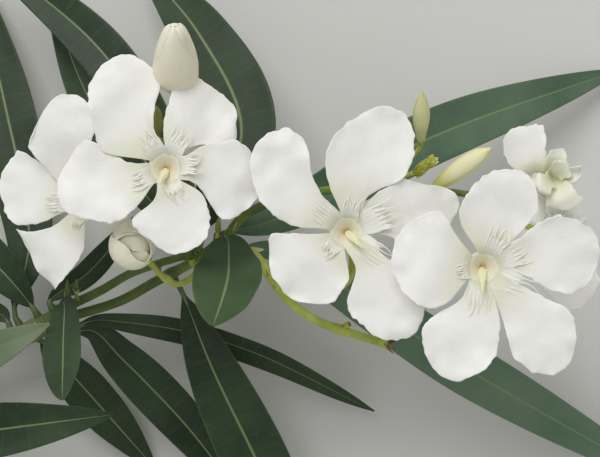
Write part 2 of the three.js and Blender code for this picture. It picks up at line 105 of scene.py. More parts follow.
class Paint:
    """A finish: one Principled surface and the nodes that vary it from place to place."""

    def __init__(self, name, glow=0, gloss=0.5):
        """Glow is how much light enters it, as it enters thin tissue."""
        self.material = bpy.data.materials.new(name)
        self.material.use_nodes = True
        self.tree = self.material.node_tree
        self.surface = self.tree.nodes["Principled BSDF"]
        self.feed(self.surface, {"Subsurface Weight": glow, "Subsurface Scale": TISSUE_DEPTH * MM,
                                 "Subsurface Radius": TISSUE_COLOUR, "Specular IOR Level": gloss})

    def feed(self, node, sockets):
        for socket, value in sockets.items():
            if isinstance(value, Tone):
                self.tree.links.new(value.socket, node.inputs[socket])
            else:
                node.inputs[socket].default_value = value

    def node(self, kind, sockets, output=0, **settings):
        node = self.tree.nodes.new("ShaderNode" + kind)
        for setting, value in settings.items():
            setattr(node, setting, value)
        self.feed(node, sockets)
        return Tone(self, node.outputs[output])

    def where(self, stretch=(1, 1, 1), kind="Object"):
        """The place on the piece, or on its own UV map, stretched before a pattern reads it."""
        place = self.node("TexCoord", {}, kind)
        return self.node("Mapping", {"Vector": place, "Scale": stretch})

    def axis(self, place, number):
        return self.node("SeparateXYZ", {"Vector": place}, number)

    def uv(self, number):
        """0 to 1 along the piece's own UV map, or across it where the number is 1."""
        return self.axis(self.where(kind="UV"), number)

    def cloud(self, scale, detail=3, place=None):
        place = place or self.where()
        return self.node("TexNoise", {"Vector": place, "Scale": scale, "Detail": detail})

    def streaks(self, scale, detail, along, across):
        """A cloud on the piece's own UV map, finer along or across by these two factors."""
        return self.cloud(scale, detail, self.where((along, across, 1), "UV"))

    def mix(self, share, first, second):
        """Two colours or tones, as much of the second as the share says."""
        return self.node("Mix", {0: share, 6: tint(first), 7: tint(second)}, 2, data_type="RGBA")

    def finish(self, colour, roughness, height, depth):
        """Depth is the relief's height in millimetres."""
        bump = self.node("Bump", {"Height": height, "Distance": depth * MM, "Strength": 1})
        self.feed(self.surface, {"Base Color": colour, "Roughness": roughness, "Normal": bump})
        return self.material


def added(operator, **settings):
    """Adds one of Blender's own shapes, a light or a camera, and selects it alone."""
    bpy.ops.object.select_all(action="DESELECT")
    operator(**settings)
    return bpy.context.object


def board_finish():
    paint = Paint("pale_board")
    grain = paint.cloud(25, 6)
    colour = paint.mix(grain, (206, 206, 203), (213, 213, 210))
    return paint.finish(colour, 0.75 + 0.1 * grain, paint.cloud(700), 0.03)


floor = added(bpy.ops.mesh.primitive_plane_add, size=BOARD_SIDE)
floor.name = "floor"
floor.data.materials.append(board_finish())

world = bpy.data.worlds.new("overcast_sky")
world.use_nodes = True
sky_light = world.node_tree.nodes["Background"].inputs
sky_light["Color"].default_value = SKY_COLOUR
sky_light["Strength"].default_value = SKY_LIGHT
bpy.context.scene.world = world

panel = added(bpy.ops.object.light_add, type="AREA", location=PANEL_PLACE)
panel.data.size = PANEL_SIDE
panel.data.energy = PANEL_POWER
panel.rotation_euler = (-PANEL_PLACE).to_track_quat("-Z", "Y").to_euler()

camera = added(bpy.ops.object.camera_add, location=metres((0, 0, CAMERA_HEIGHT)), rotation=(0, 0, 0))
camera.data.sensor_width = FILM_WIDTH
camera.data.lens = LENS_LENGTH
camera.data.clip_start = NEAREST_SIGHT
bpy.context.scene.camera = camera
bpy.context.scene.view_settings.view_transform = "Standard"


# The woody stem: last year's growth, as thick as a pencil, with smooth green-brown bark, corky
# specks and a slight swelling at each whorl of leaves. It was cut square with a sharp blade.
MAIN_RADII = (3.4, 2.6)
CLEARANCE = 0.3
STEM_SIDES = 20
STEM_RINGS = 80
CURVE_STEPS = 24
FIRST_STEP = 1.5
LOOK_ASIDE = 0.002
SMOOTHED_ANGLE = 50
WHORLS = ((0.36, 0.3), (0.9, 0.5))
WHORL_LENGTH = 0.035
UP = Vector((0, 0, 1))


class Limb:
    """A smooth line through points of the plan, in millimetres, with a radius at either end."""

    def __init__(self, points, radii=(0, 0), seat=None):
        points = [Vector(point) for point in points]
        if seat:
            points = [seat[0], seat[0] + seat[1] * FIRST_STEP, *points]
        self.radii = radii
        self.line = [points[0]]
        ends = [2 * points[0] - points[1], *points, 2 * points[-1] - points[-2]]
        for four in zip(ends, ends[1:], ends[2:], ends[3:]):
            self.line += [self.between(four, (k + 1) / CURVE_STEPS) for k in range(CURVE_STEPS)]
        self.lengths = [0]
        for one, other in zip(self.line, self.line[1:]):
            self.lengths.append(self.lengths[-1] + (other - one).length)

    def between(self, four, t):
        """A centripetal curve from the second to the third of four points."""
        a, b, c, d = four
        before, here, after = (b - a).length ** 0.5, (c - b).length ** 0.5, (d - c).length ** 0.5
        out = ((b - a) / before - (c - a) / (before + here)) * here + c - b
        home = ((d - c) / after - (d - b) / (here + after)) * here + c - b
        return b + out * t + (3 * (c - b) - 2 * out - home) * t**2 + (2 * (b - c) + out + home) * t**3

    def at(self, share):
        goal = min(max(share, 0), 1) * self.lengths[-1]
        i = next(i for i, length in enumerate(self.lengths) if length >= goal)
        if i == 0:
            return self.line[0].copy()
        part = (goal - self.lengths[i - 1]) / (self.lengths[i] - self.lengths[i - 1])
        return self.line[i - 1].lerp(self.line[i], part)

    def radius(self, share):
        return self.radii[0] + (self.radii[1] - self.radii[0]) * share

    def sides(self, share, sky=UP):
        """The way on, the side to its left and the side over it."""
        along = (self.at(share + LOOK_ASIDE) - self.at(share - LOOK_ASIDE)).normalized()
        left = sky.cross(along).normalized()
        return along, left, along.cross(left)

    def seat(self, share, around):
        """A place on the bark and the way out of it. Around is 0 over the limb, 90 at its left."""
        _, left, over = self.sides(share)
        turn = math.radians(around)
        out = over * math.cos(turn) + left * math.sin(turn)
        return self.at(share) + out * (self.radius(share) + CLEARANCE), out


def selected(piece):
    """Selects one piece alone and makes it the active one."""
    bpy.ops.object.select_all(action="DESELECT")
    piece.select_set(True)
    bpy.context.view_layer.objects.active = piece
    return piece


def rods(name, lines, sides=STEM_SIDES):
    """Round rods, each a list of places and radii in millimetres, drawn as curves with a bevel."""
    curve = bpy.data.curves.new(name, "CURVE")
    curve.dimensions = "3D"
    curve.fill_mode = "FULL"
    curve.use_fill_caps = True
    curve.bevel_depth = MM
    curve.bevel_resolution = sides // 2 - 2
    curve.twist_mode = "Z_UP"
    for line in lines:
        spline = curve.splines.new("POLY")
        spline.points.add(len(line) - 1)
        for point, (place, radius) in zip(spline.points, line):
            point.co = (*metres(place), 1)
            point.radius = radius
    piece = bpy.data.objects.new(name, curve)
    bpy.context.collection.objects.link(piece)
    selected(piece)
    bpy.ops.object.convert(target="MESH")
    piece = bpy.context.object
    bpy.ops.object.shade_smooth_by_angle(angle=math.radians(SMOOTHED_ANGLE))
    return piece


def give(piece, node, finish=None):
    """Dresses a piece that has no finish yet, hangs it on the root and hides the solid that it stands
    for.
    """
    if finish:
        piece.data.materials.append(finish)
    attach(piece, "root")
    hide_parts(node)


def bark_finish():
    paint = Paint("bark")
    blotch = paint.cloud(90, 4)
    speck = paint.node("TexVoronoi", {"Vector": paint.where(), "Scale": 700}).between(0.16, 0.3)
    green = paint.mix(blotch.between(0.35, 0.65), (72, 86, 46), (100, 106, 66))
    colour = paint.mix(speck, (136, 128, 96), green)
    return paint.finish(colour, 0.6 + 0.2 * blotch, 0.6 * blotch + 0.4 * speck, 0.12)


def swollen(limb, share, whorls):
    """The limb's radius with a swelling at each whorl, given as its place and its height."""
    swelling = sum(rise * math.exp(-(((share - place) / WHORL_LENGTH) ** 2)) for place, rise in whorls)
    return limb.radius(share) + swelling


def stem(name, limb, finish, whorls):
    shares = [i / STEM_RINGS for i in range(STEM_RINGS + 1)]
    line = [(limb.at(share), swollen(limb, share, whorls)) for share in shares]
    give(rods(name + "_bark", [line]), name, finish)


main_stem = Limb([
    (-160.5, -76.2, 3.4), (-141.4, -65.4, 4.5), (-123.5, -55.3, 7.5), (-102.2, -43.6, 14),
    (-81, -32, 22), (-64.5, -23.3, 29)], MAIN_RADII)
stem("main_stem", main_stem, bark_finish(), WHORLS)


# The cut end shows the wood: a thin green rind, pale wood with fine rays, and a soft brown pith.
# It is a filled ring, inset and pressed in a little, as a knife leaves it.
RIND = 0.35
PITH = 0.7
CUT_MARGIN = 0.05
CUT_STAND = 0.13
CUT_STEPS = ((RIND, -0.12), (1.4, 0.08), (0.9, -0.1))


def wood_finish():
    paint = Paint("cut_wood")
    ring = paint.cloud(1800, 2)
    place = paint.where()
    pith = metres(main_stem.at(0))
    from_pith = paint.node("VectorMath", {0: place, 1: pith}, 1, operation="DISTANCE")
    pale = paint.mix(ring, (214, 205, 164), (196, 186, 140))
    wood = paint.mix(from_pith.between(0.5 * PITH * MM, PITH * MM), (150, 120, 80), pale)
    edge = from_pith.between((MAIN_RADII[0] - 2 * RIND) * MM, (MAIN_RADII[0] - RIND) * MM)
    return paint.finish(paint.mix(edge, wood, (120, 132, 70)), 0.8, ring, 0.05)


outwards = -main_stem.sides(0)[0]
cut = added(bpy.ops.mesh.primitive_circle_add, vertices=STEM_SIDES * 2, fill_type="NGON",
            radius=(MAIN_RADII[0] - CUT_MARGIN) * MM)
cut.name = "cut_face"
bpy.ops.object.mode_set(mode="EDIT")
for width, height in CUT_STEPS:
    bpy.ops.mesh.inset(thickness=width * MM)
    bpy.ops.transform.translate(value=(0, 0, height * MM))
bpy.ops.object.mode_set(mode="OBJECT")
cut.matrix_world = (Matrix.Translation(metres(main_stem.at(0) + outwards * CUT_STAND))
                    @ outwards.to_track_quat("Z", "Y").to_matrix().to_4x4())
bpy.ops.object.transform_apply()
give(cut, "main_stem", wood_finish())


# The flower stalks: this year's soft shoots, yellow-green and a little ridged, with painted shade that
# darkens them towards the fork. Two leave the fork, one of them parts again, and one loops under its
# bloom.
STALK_RADII = (1.3, 1.0)
STALK_SWELLING = 0.35
FORK_GAP = 0.7
FORK_SPREAD = 1.45
FORK_SHADE = 45


def stalk_finish(name, deep, light):
    paint = Paint(name)
    ridge = paint.streaks(9, 2, 1.5, 14)
    blotch = paint.cloud(140, 4)
    colour = paint.mix(blotch.between(0.35, 0.7), deep, light)
    worn = paint.cloud(420).between(0.62, 0.72)
    colour = paint.mix(0.5 * worn, colour, (132, 112, 66))
    # Painted shade: the stalks darken towards the fork, at the left of the plan.
    clear_of_fork_shade = paint.axis(paint.where(), 0).between(-FORK_SHADE * MM, 0)
    colour = paint.mix(0.75 * (1 - clear_of_fork_shade), colour, (62, 78, 36))
    return paint.finish(colour, 0.45 + 0.15 * blotch, ridge + 0.3 * blotch, 0.15)


green_stalk = stalk_finish("green_stalk", (76, 98, 40), (116, 138, 58))
light_stalk = stalk_finish("yellow_green_stalk", (168, 184, 72), (206, 215, 112))

fork_along, fork_left, _ = main_stem.sides(0.998)
fork_end = main_stem.at(1) + fork_along * FORK_GAP
left_fork = fork_end + fork_left * FORK_SPREAD
right_fork = fork_end - fork_left * FORK_SPREAD

left_stalk = Limb([
    left_fork, (-54.7, -17.1, 33), (-46.1, -12.3, 37), (-37.6, -9.3, 41), (-28.4, -6.6, 44)], STALK_RADII)
left_tip = Limb([
    (-27.4, -5.9, 44.2), (-26.2, -1.7, 45), (-28.8, 10.3, 45.5), (-31.5, 19.6, 46), (-33.6, 26, 46)],
    (1.0, 0.9))
joining_stem = Limb([
    right_fork, (-49.4, -19.9, 31), (-39.6, -14.6, 34), (-30.1, -9.6, 37), (-23.5, -5.3, 39),
    (-20.2, -2.8, 40)], (1.3, 1.4))
right_stalk = Limb([
    (-19.7, -2.2, 40.2), (-15.4, 3.1, 41), (-6.7, 7.4, 42.5), (5.4, 10, 44), (16, 10.5, 46),
    (24.6, 10.5, 48)], STALK_RADII)
right_tip = Limb([(25.1, 10.5, 48), (37.3, 10, 46), (48.1, 8.5, 44), (56.2, 6, 43)], (1.0, 0.8))
lower_stalk = Limb([
    (-14.5, -6, 41), (-9.9, -10, 43.5), (-6.7, -14.8, 46), (-2.7, -19.5, 47), (4, -24.2, 48),
    (11.9, -27.2, 48), (23.1, -30.6, 48)], (1.2, 1.1), joining_stem.seat(0.93, -100))
loop_stalk = Limb([
    (-27, -10.5, 44.5), (-29.6, -13.6, 45), (-32.9, -14.8, 45.5), (-36.6, -12.7, 45.5),
    (-40.2, -9, 44), (-45.6, -3.1, 42.5), (-49.8, 1.7, 43)], (0.85, 0.8), left_stalk.seat(0.97, -100))

for name, limb, finish, nodes in (
    ("left_flower_stalk", left_stalk, green_stalk, (0.97,)),
    ("left_flower_stalk_tip", left_tip, green_stalk, (0.2, 0.98)),
    ("joining_stem", joining_stem, green_stalk, (0.63, 0.95)),
    ("right_flower_stalk", right_stalk, green_stalk, (0.95,)),
    ("right_flower_stalk_tip", right_tip, green_stalk, (0.9,)),
    ("lower_flower_stalk", lower_stalk, light_stalk, (0.16, 0.22, 0.28, 0.76, 0.98)),
    ("looped_stalk", loop_stalk, light_stalk, (0.4, 0.92)),
):
    stem(name, limb, finish, [(place, STALK_SWELLING) for place in nodes])


# The leaves: leathery blades in whorls of three, dark green above under a grey bloom, and paler
# below. Each is sunk along its midrib and waved at its edge, and stands on a short thick stalk.
LEAF_MIN_THICKNESS = 1.0
LEAF_SLIMNESS = 100
PETIOLE_SHARE = 0.05
BLADE_THICKNESS = 0.45
BLADE_FOLD = 0.18
BLADE_GROOVE = 0.35
BLADE_ALONG = 64
BLADE_ACROSS = 14
EDGE_WAVE = 0.45
EDGE_WAVE_WIDTH = 9
GROOVE_WIDTH = 0.9
LEAF_TIP_HALF_WIDTH = 0.25
MIDRIB_RADIUS = 0.24
MIDRIB_TAPER = 0.5
MIDRIB_DEPTH = 0.35
MIDRIB_RINGS = 40
MIDRIB_END = 0.96
STALK_SIDES = 12
FLARE = 0.45
FLARE_LENGTH = 1.5
SET_IN = 0.5


def dress(piece, kind, **settings):
    """Adds one modifier to the selected piece, sets it and applies it."""
    bpy.ops.object.modifier_add(type=kind)
    modifier = piece.modifiers[-1]
    for setting, value in settings.items():
        setattr(modifier, setting, value)
    bpy.ops.object.modifier_apply(modifier=modifier.name)


def sheet(name, place, along, across, thickness, finishes, round_about=False):
    """A thin skin, shaped from a grid point by point and then smoothed. Place takes 0 to 1 along
    and -1 to 1 across and gives millimetres of the plan. A round one has its two long edges joined
    and isn't smoothed."""
    piece = added(bpy.ops.mesh.primitive_grid_add, x_subdivisions=along, y_subdivisions=across, size=2)
    piece.name = name
    for vertex in piece.data.vertices:
        vertex.co = metres(place((vertex.co.x + 1) / 2, vertex.co.y))
    if round_about:
        bpy.ops.object.mode_set(mode="EDIT")
        bpy.ops.mesh.select_all(action="SELECT")
        bpy.ops.mesh.remove_doubles(threshold=0.01 * MM)
        bpy.ops.object.mode_set(mode="OBJECT")
    for finish in finishes:
        piece.data.materials.append(finish)
    dress(piece, "SOLIDIFY", thickness=thickness * MM, offset=0, material_offset=len(finishes) - 1)
    if not round_about:
        dress(piece, "SUBSURF", levels=1)
    bpy.ops.object.shade_smooth()
    return piece


def leaf_outline(share, skew, bluntness):
    """The half width at a share of the blade. Over 1, skew moves the widest place to the tip."""
    return math.sin(math.pi * share**skew) ** bluntness if 0 < share < 1 else 0


def blade_finish(name, deep, light):
    paint = Paint(name, gloss=0.35)
    from_rib = abs(paint.uv(1) * 2 - 1)
    vein = paint.streaks(1, 4, 70, 2.5).between(0.45, 0.7)
    rib = 1 - from_rib.between(0.015, 0.06)
    edge = from_rib.between(0.94, 1)
    bloom = paint.cloud(45, 4).between(0.3, 0.75)
    fleck = paint.cloud(900, 2).between(0.68, 0.76)
    green = paint.mix(bloom, deep, light)
    green = paint.mix(0.06 * vein, green, (112, 132, 92))
    green = paint.mix(0.15 * fleck, green, (124, 138, 104))
    green = paint.mix(0.3 * edge, green, (108, 126, 74))
    colour = paint.mix(0.8 * rib, green, (124, 140, 96))
    return paint.finish(colour, 0.44 + 0.16 * bloom, 0.25 * vein + 0.5 * bloom, 0.08)


def underside_finish():
    paint = Paint("leaf_under")
    net = paint.streaks(60, 4, 1, 0.25)
    blotch = paint.cloud(80)
    from_rib = abs(paint.uv(1) * 2 - 1)
    green = paint.mix(blotch, (104, 124, 88), (124, 142, 106))
    colour = paint.mix(0.3 * (1 - from_rib.between(0.03, 0.2)), green, (158, 170, 118))
    return paint.finish(colour, 0.6 + 0.1 * blotch, net, 0.12)


def rib_finish():
    """The midrib is darker on its stalk than on the blade."""
    paint = Paint("leaf_rib")
    blotch = paint.cloud(200)
    streak = paint.streaks(1, 2, 8, 20)
    from_foot = paint.uv(0).between(0.03, 0.14)
    pale = paint.mix(blotch, (104, 124, 80), (132, 148, 106))
    colour = paint.mix(from_foot, (66, 82, 44), pale)
    return paint.finish(colour, 0.5 + 0.1 * blotch, streak, 0.06)


leaf_under = underside_finish()
leaf_dark = (blade_finish("leaf_dark", (28, 47, 26), (52, 72, 46)), leaf_under)
leaf_middle = (blade_finish("leaf_middle", (48, 70, 42), (66, 88, 56)), leaf_under)
leaf_grey = (blade_finish("leaf_grey_green", (68, 94, 74), (92, 114, 92)), leaf_under)
# The blue-green tone is partly painted light: a paler blade for the lower right leaf, which turns away
# from the lamp.
leaf_blue = (blade_finish("leaf_blue_green", (84, 110, 88), (104, 128, 102)), leaf_under)
# The pale tone is partly painted sheen, for the low leaf that runs along the stem.
leaf_pale = (blade_finish("leaf_pale", (94, 114, 86), (118, 134, 106)), leaf_under)
leaf_rib = rib_finish()


def leaf(name, carrier, share, around, way, tip, width, petiole=3, roll=0, finishes=leaf_dark,
         skew=0.85, bluntness=0.75):
    """A leaf from its seat on the limb, by the places that it passes. Its blade lies on the upper
    side of its solid, so its end is half the solid's thickness or more over the tip."""
    place, out = carrier.seat(share, around)
    thickness = max(LEAF_MIN_THICKNESS, (Vector(tip) - place).length / LEAF_SLIMNESS)
    end = Vector(tip) + UP * thickness
    route = Limb([place, place + out * petiole, *way, end])
    outwards = Vector((end.x - place.x, end.y - place.y, 0)).normalized()
    sky = UP - outwards * out.z
    draw = random.Random(name)
    wave, phase = draw.uniform(2.5, 4), draw.uniform(0, math.tau)
    first = PETIOLE_SHARE * 0.8

    def blade(s, u):
        t = first + (1 - first) * s
        along, left, over = route.sides(t, sky)
        turn = Matrix.Rotation(math.radians(roll) * math.sin(math.pi * t), 3, along)
        left, over = turn @ left, turn @ over
        part = (t - PETIOLE_SHARE) / (1 - PETIOLE_SHARE)
        narrowest = LEAF_TIP_HALF_WIDTH + 0.4 * (1 - t) ** 6
        half = max(narrowest, width / 2 * leaf_outline(part, skew, bluntness))
        rise = BLADE_FOLD * half * abs(u) ** 1.2 * min(1, 4 * s)
        rise -= BLADE_GROOVE * math.exp(-((u * half / GROOVE_WIDTH) ** 2)) * (1 - t)
        ripple = math.sin(math.tau * wave * s + phase + (math.pi / 2 if u > 0 else 0))
        rise += EDGE_WAVE * ripple * u * u * half / EDGE_WAVE_WIDTH
        return route.at(t) + left * u * half + over * rise

    give(sheet(name + "_blade", blade, BLADE_ALONG, BLADE_ACROSS, BLADE_THICKNESS, finishes),
         name)

    def rib(t):
        _, _, over = route.sides(t, sky)
        flare = FLARE * math.exp(-t * route.lengths[-1] / FLARE_LENGTH)
        radius = MIDRIB_RADIUS + MIDRIB_TAPER * (1 - t) ** 1.3 + flare
        sunk = min(1, t / (1.6 * PETIOLE_SHARE)) * (MIDRIB_DEPTH + 0.66 * radius)
        return route.at(t) - over * sunk, radius

    rings = [i / MIDRIB_RINGS * MIDRIB_END for i in range(MIDRIB_RINGS + 1)]
    line = [(place - out * SET_IN, rib(0)[1]), *(rib(t) for t in rings)]
    give(rods(name + "_midrib", [line], STALK_SIDES), name, leaf_rib)


leaf("leaf_fork_raised", main_stem, 0.985, -10, [(-63.4, -19.8, 43), (-61, -29.5, 61)],
     (-59, -42.6, 77), 10.6, skew=1.7, bluntness=0.6)
leaf("leaf_fork_lower", main_stem, 0.975, -105,
     [(-57.5, -28.5, 24.5), (-50.4, -35.9, 21), (-42.2, -44.6, 18), (-31.2, -57.2, 14)],
     (-14.5, -80, 8), 13.5, 2)
leaf("leaf_fork_right", main_stem, 0.985, -80,
     [(-57, -25.4, 27), (-48, -26.1, 25.5), (-34, -28.2, 24), (-13.5, -34.5, 20)],
     (21.5, -52.7, 5), 8.5, 1, 30)
leaf("leaf_fork_left", main_stem, 0.84, 100, [(-84, -24, 20)], (-121, -38, 8), 12, 2.5)
leaf("leaf_fork_upper_left", main_stem, 0.93, 80, [(-85, -9, 28)], (-112, 10, 12), 13, 4)
leaf("leaf_fork_top", main_stem, 0.87, 95, [(-76, -4, 20), (-84, 35, 12)], (-97, 80, 0), 17, 4)
leaf("leaf_fork_behind", main_stem, 0.975, 85, [(-58, -12, 31)], (-44, 4, 33), 7, 2)
leaf("leaf_fork_low_behind", main_stem, 0.88, -140, [(-66, -40, 14)], (-42, -70, 0), 13, 4)
leaf("leaf_low_right", main_stem, 0.36, -95, [(-96, -57.5, 23)], (-50.4, -50.3, 37), 16)
# Its pale blade is partly painted sheen.
leaf("leaf_low_along", main_stem, 0.38, 20, [(-92, -37, 38)], (-64.7, -24.7, 58), 13.5, 4,
     finishes=leaf_pale)
leaf("leaf_low_left", main_stem, 0.34, 110, [(-138, -34, 9)], (-146, -2, 0), 16, 4)
leaf("leaf_left_stalk_top", left_tip, 0.2, 100, [(-33, 12, 38), (-54, 48, 29)], (-92, 80, 18), 14)
leaf("leaf_left_stalk_side", left_stalk, 0.95, 85, [(-44, 12, 35), (-61, 40, 19)], (-73, 70, 6), 11)
leaf("leaf_whorl_raised", joining_stem, 0.98, -20,
     [(-19.4, -2.2, 46), (-18.5, -8.2, 57), (-18.4, -12.5, 66), (-19.5, -18, 75)],
     (-21.3, -23.9, 83), 17.6, 0.5, skew=1.25, bluntness=0.6, finishes=leaf_middle)
leaf("leaf_whorl_upper_right", joining_stem, 0.95, 150, [(-8, 2, 34), (35, 24.6, 28)],
     (94, 46.5, 0), 15.5, finishes=leaf_grey)
# Its paler blue-green blade is partly painted light.
leaf("leaf_whorl_lower_right", joining_stem, 0.9, -150, [(-8, -6, 32), (49.4, -41, 20)],
     (112, -77, 0), 15, finishes=leaf_blue)
leaf("leaf_whorl_behind", joining_stem, 0.84, 100, [(-16, 26, 32), (-28, 54, 20)], (-46, 76, 8), 20)
leaf("leaf_long_lower", joining_stem, 0.63, -110, [(-24.5, -38, 28), (-12.5, -64, 22)],
     (11, -118, 0), 18.5)


# Each flower hangs on its own green stalk and sits in a cup of five pointed sepals. The tube of
# the flower widens from the cup to the throat. Tube, throat and cup are modelled once, in the
# flower's own frame with the throat's rim at its origin, and copied to every flower.
TUBE_SIDES = 28
TUBE_LENGTH = 13
TUBE_WALL = 0.5
TUBE_STEPS = ((2.4, 1.45), (2.6, 1.35), (3.0, 1.25), (2.6, 1.2), (1.3, 1.12))
TUBE_FOOT_RADIUS = 1.25
CALYX_LENGTH = 4
CALYX_RADIUS = 2.0
SEPALS = 5
SEPAL_WIDTH = 1.5
SEPAL_THICKNESS = 0.3
PEDICEL_RADIUS = 0.85
THROAT_WALL = 0.12
THROAT_RIM = 4.3
THROAT_FOOT = 0.05
THROAT_LIP = 0.32
LIP_START = 3
FUNNEL_DEPTH = 6.4
FUNNEL_RADIUS = 6.5


def flower_frame(centre, face):
    """The place of a flower or bud: its throat or foot, and the way that it faces."""
    z = Vector(face).normalized()
    x = (Vector((1, 0, 0)) - z * z.x).normalized()
    turn = Matrix((x, z.cross(x), z)).transposed().to_4x4()
    return Matrix.Translation(Vector(centre)) @ turn


def copied(master, name, place, scale=(1, 1, 1)):
    """A copy of a piece that was modelled round the origin, carried to a flower's place."""
    piece = master.copy()
    piece.data = master.data.copy()
    piece.name = name
    bpy.context.collection.objects.link(piece)
    shift = Matrix.Translation(-PLAN_MIDDLE * MM)
    carried = place.copy()
    carried.translation = place.translation * MM
    piece.data.transform(shift @ carried @ Matrix.Diagonal((*scale, 1)))
    return piece


def mottled(name, dark, light, grain, roughness, depth, contrast=None, glow=0):
    """A finish of one fine grain, given as its scale and detail, which goes from dark to light and
    stands up by its depth. Contrast makes the step between the two colours sharper."""
    paint = Paint(name, glow)
    cloud = paint.cloud(*grain)
    share = cloud.between(*contrast) if contrast else cloud
    return paint.finish(paint.mix(share, dark, light), roughness, cloud, depth)


def throat_finish():
    paint = Paint("flower_throat", 0.25)
    depth = paint.uv(0)
    streak = paint.streaks(6, 3, 0.6, 9)
    colour = paint.mix(depth.between(0.1, 0.45), (246, 246, 222), (248, 240, 212))
    colour = paint.mix(depth.between(0.35, 0.9), colour, (246, 224, 186))
    colour = paint.mix(0.3 * streak, colour, (248, 242, 220))
    return paint.finish(colour, 0.5, streak, 0.1)


tube = added(bpy.ops.mesh.primitive_circle_add, vertices=TUBE_SIDES, fill_type="NOTHING",
             radius=TUBE_FOOT_RADIUS * MM, location=(0, 0, -TUBE_LENGTH * MM))
bpy.ops.object.transform_apply()
bpy.ops.object.mode_set(mode="EDIT")
bpy.ops.mesh.select_all(action="SELECT")
for rise, widening in TUBE_STEPS:
    bpy.ops.mesh.extrude_region_move(TRANSFORM_OT_translate={"value": (0, 0, rise * MM)})
    bpy.ops.transform.resize(value=(widening, widening, 1), center_override=(0, 0, 0))
bpy.ops.mesh.select_all(action="SELECT")
bpy.ops.mesh.normals_make_consistent(inside=False)
bpy.ops.object.mode_set(mode="OBJECT")
dress(tube, "SOLIDIFY", thickness=TUBE_WALL * MM, offset=-1)
dress(tube, "SUBSURF", levels=1)
bpy.ops.object.shade_smooth()
tube.data.materials.append(
    mottled("flower_tube", (206, 210, 168), (228, 228, 204), (500, 3), 0.55, 0.05))


def funnel(out):
    """How far the throat's slope lies under the petals, by the way out from its middle."""
    return FUNNEL_DEPTH * max(0, 1 - out / FUNNEL_RADIUS) ** 2


def throat_place(s, u):
    turn = math.pi * u
    out = THROAT_FOOT + (THROAT_RIM - THROAT_FOOT) * (1 - s) ** 1.25
    rise = THROAT_LIP - 0.35 * max(0, out - LIP_START) ** 1.5
    return PLAN_MIDDLE + Vector((out * math.cos(turn), out * math.sin(turn), rise - funnel(out)))


throat = sheet("throat", throat_place, 20, 40, THROAT_WALL, [throat_finish()], True)

sepal_green = mottled("sepal_green", (120, 140, 62), (168, 178, 108), (260, 3), 0.5, 0.08, (0.3, 0.7))


def sepal(turn):
    """One pointed sepal, which hugs the tube and turns out a little at its tip."""
    def place(s, u):
        width = SEPAL_WIDTH * math.cos(math.pi / 2 * s) ** 0.7 * min(1, 0.45 + 3 * s) + 0.03
        out = CALYX_RADIUS * (0.45 + 0.75 * s - 0.15 * s * s) + 0.3 * s**4
        angle = turn + u * width / 2 / max(out, 0.5)
        height = -TUBE_LENGTH - 0.7 * CALYX_LENGTH + CALYX_LENGTH * 1.25 * s
        return PLAN_MIDDLE + Vector((out * math.cos(angle), out * math.sin(angle), height))
    return sheet("sepal", place, 8, 6, SEPAL_THICKNESS, [sepal_green])


def joined(name, pieces):
    """Several pieces made one, which keeps their finishes."""
    whole = selected(pieces[0])
    for piece in pieces:
        piece.select_set(True)
    bpy.ops.object.join()
    whole.name = name
    return whole


receptacle = added(bpy.ops.mesh.primitive_uv_sphere_add, segments=20, ring_count=12,
                   radius=CALYX_RADIUS * 0.78 * MM,
                   location=(0, 0, (-TUBE_LENGTH - 0.25 * CALYX_LENGTH) * MM))
bpy.ops.object.transform_apply()
bpy.ops.object.shade_smooth()
receptacle.data.materials.append(sepal_green)
calyx = joined("calyx", [receptacle, *(sepal(math.tau * k / SEPALS) for k in range(SEPALS))])


def pedicel(name, place, foot, seat, node, pull=6, push=6, girth=PEDICEL_RADIUS, way=()):
    """The stalk from inside the cup to its seat on the limb, straight for a while at either end.
    Way lists places that it passes."""
    end, out = seat
    start = place @ Vector((0, 0, foot))
    under = start - (place.to_3x3() @ UP) * pull
    before, inside = end + out * push, end - out * SET_IN
    if way:
        line = Limb([start, under, *way, before, inside]).line
    else:
        line = geometry.interpolate_bezier(start, under, before, inside, CURVE_STEPS)
    thick = [girth * (1 + FLARE * math.exp((i + 1 - len(line)) / FLARE_LENGTH)) for i in range(len(line))]
    give(rods(name, [list(zip(line, thick))], STALK_SIDES), node, light_stalk)


# The petals: five thin white blades, narrow where they leave the throat and broad and oblique at
# the end. Each one bends in at one side near its foot, its end is finely notched, and it is so soft
# that the edges ripple and curl.
PETAL_ROOT = 3.0
PETAL_THICKNESS = 0.3
PETAL_ALONG = 38
PETAL_ACROSS = 26
PETAL_FOOT = 2.4
PETAL_ROUNDNESS = 2.3
NOTCH_DEPTH = 0.55
NOTCH_LENGTH = 1.3
BAY_LENGTH = 5
BAY_DEPTH = 0.6
SWAY = 1.9
SWAY_LENGTH = 11
RIPPLE = 1.5
RIPPLE_LENGTH = 4.5


def petal_finish(name, foot, body, vein_and_shade_white):
    paint = Paint(name, 0.2)
    share = paint.uv(0)
    vein = paint.streaks(9, 3, 1.2, 9)
    # Painted shade: a cloud of soft creases, which raises the relief and dims the white along them.
    crease_and_shade = paint.cloud(130, 4)
    white = paint.mix(0.6 * crease_and_shade.between(0.35, 0.75), body, vein_and_shade_white)
    white = paint.mix(0.25 * vein.between(0.45, 0.7), white, vein_and_shade_white)
    # The foot is partly its own cream and partly painted shade of the throat, fading out half way along
    # the petal.
    colour = paint.mix(share.between(0.02, 0.5), foot, white)
    return paint.finish(colour, 0.5 + 0.12 * crease_and_shade, 0.5 * vein + 0.5 * crease_and_shade, 0.16)


# A cream foot with painted throat shade, a white body, and a dimmer white for the veins and the painted
# crease shade.
petal_white = petal_finish("petal_white", (226, 226, 200), (250, 249, 244), (235, 234, 227))


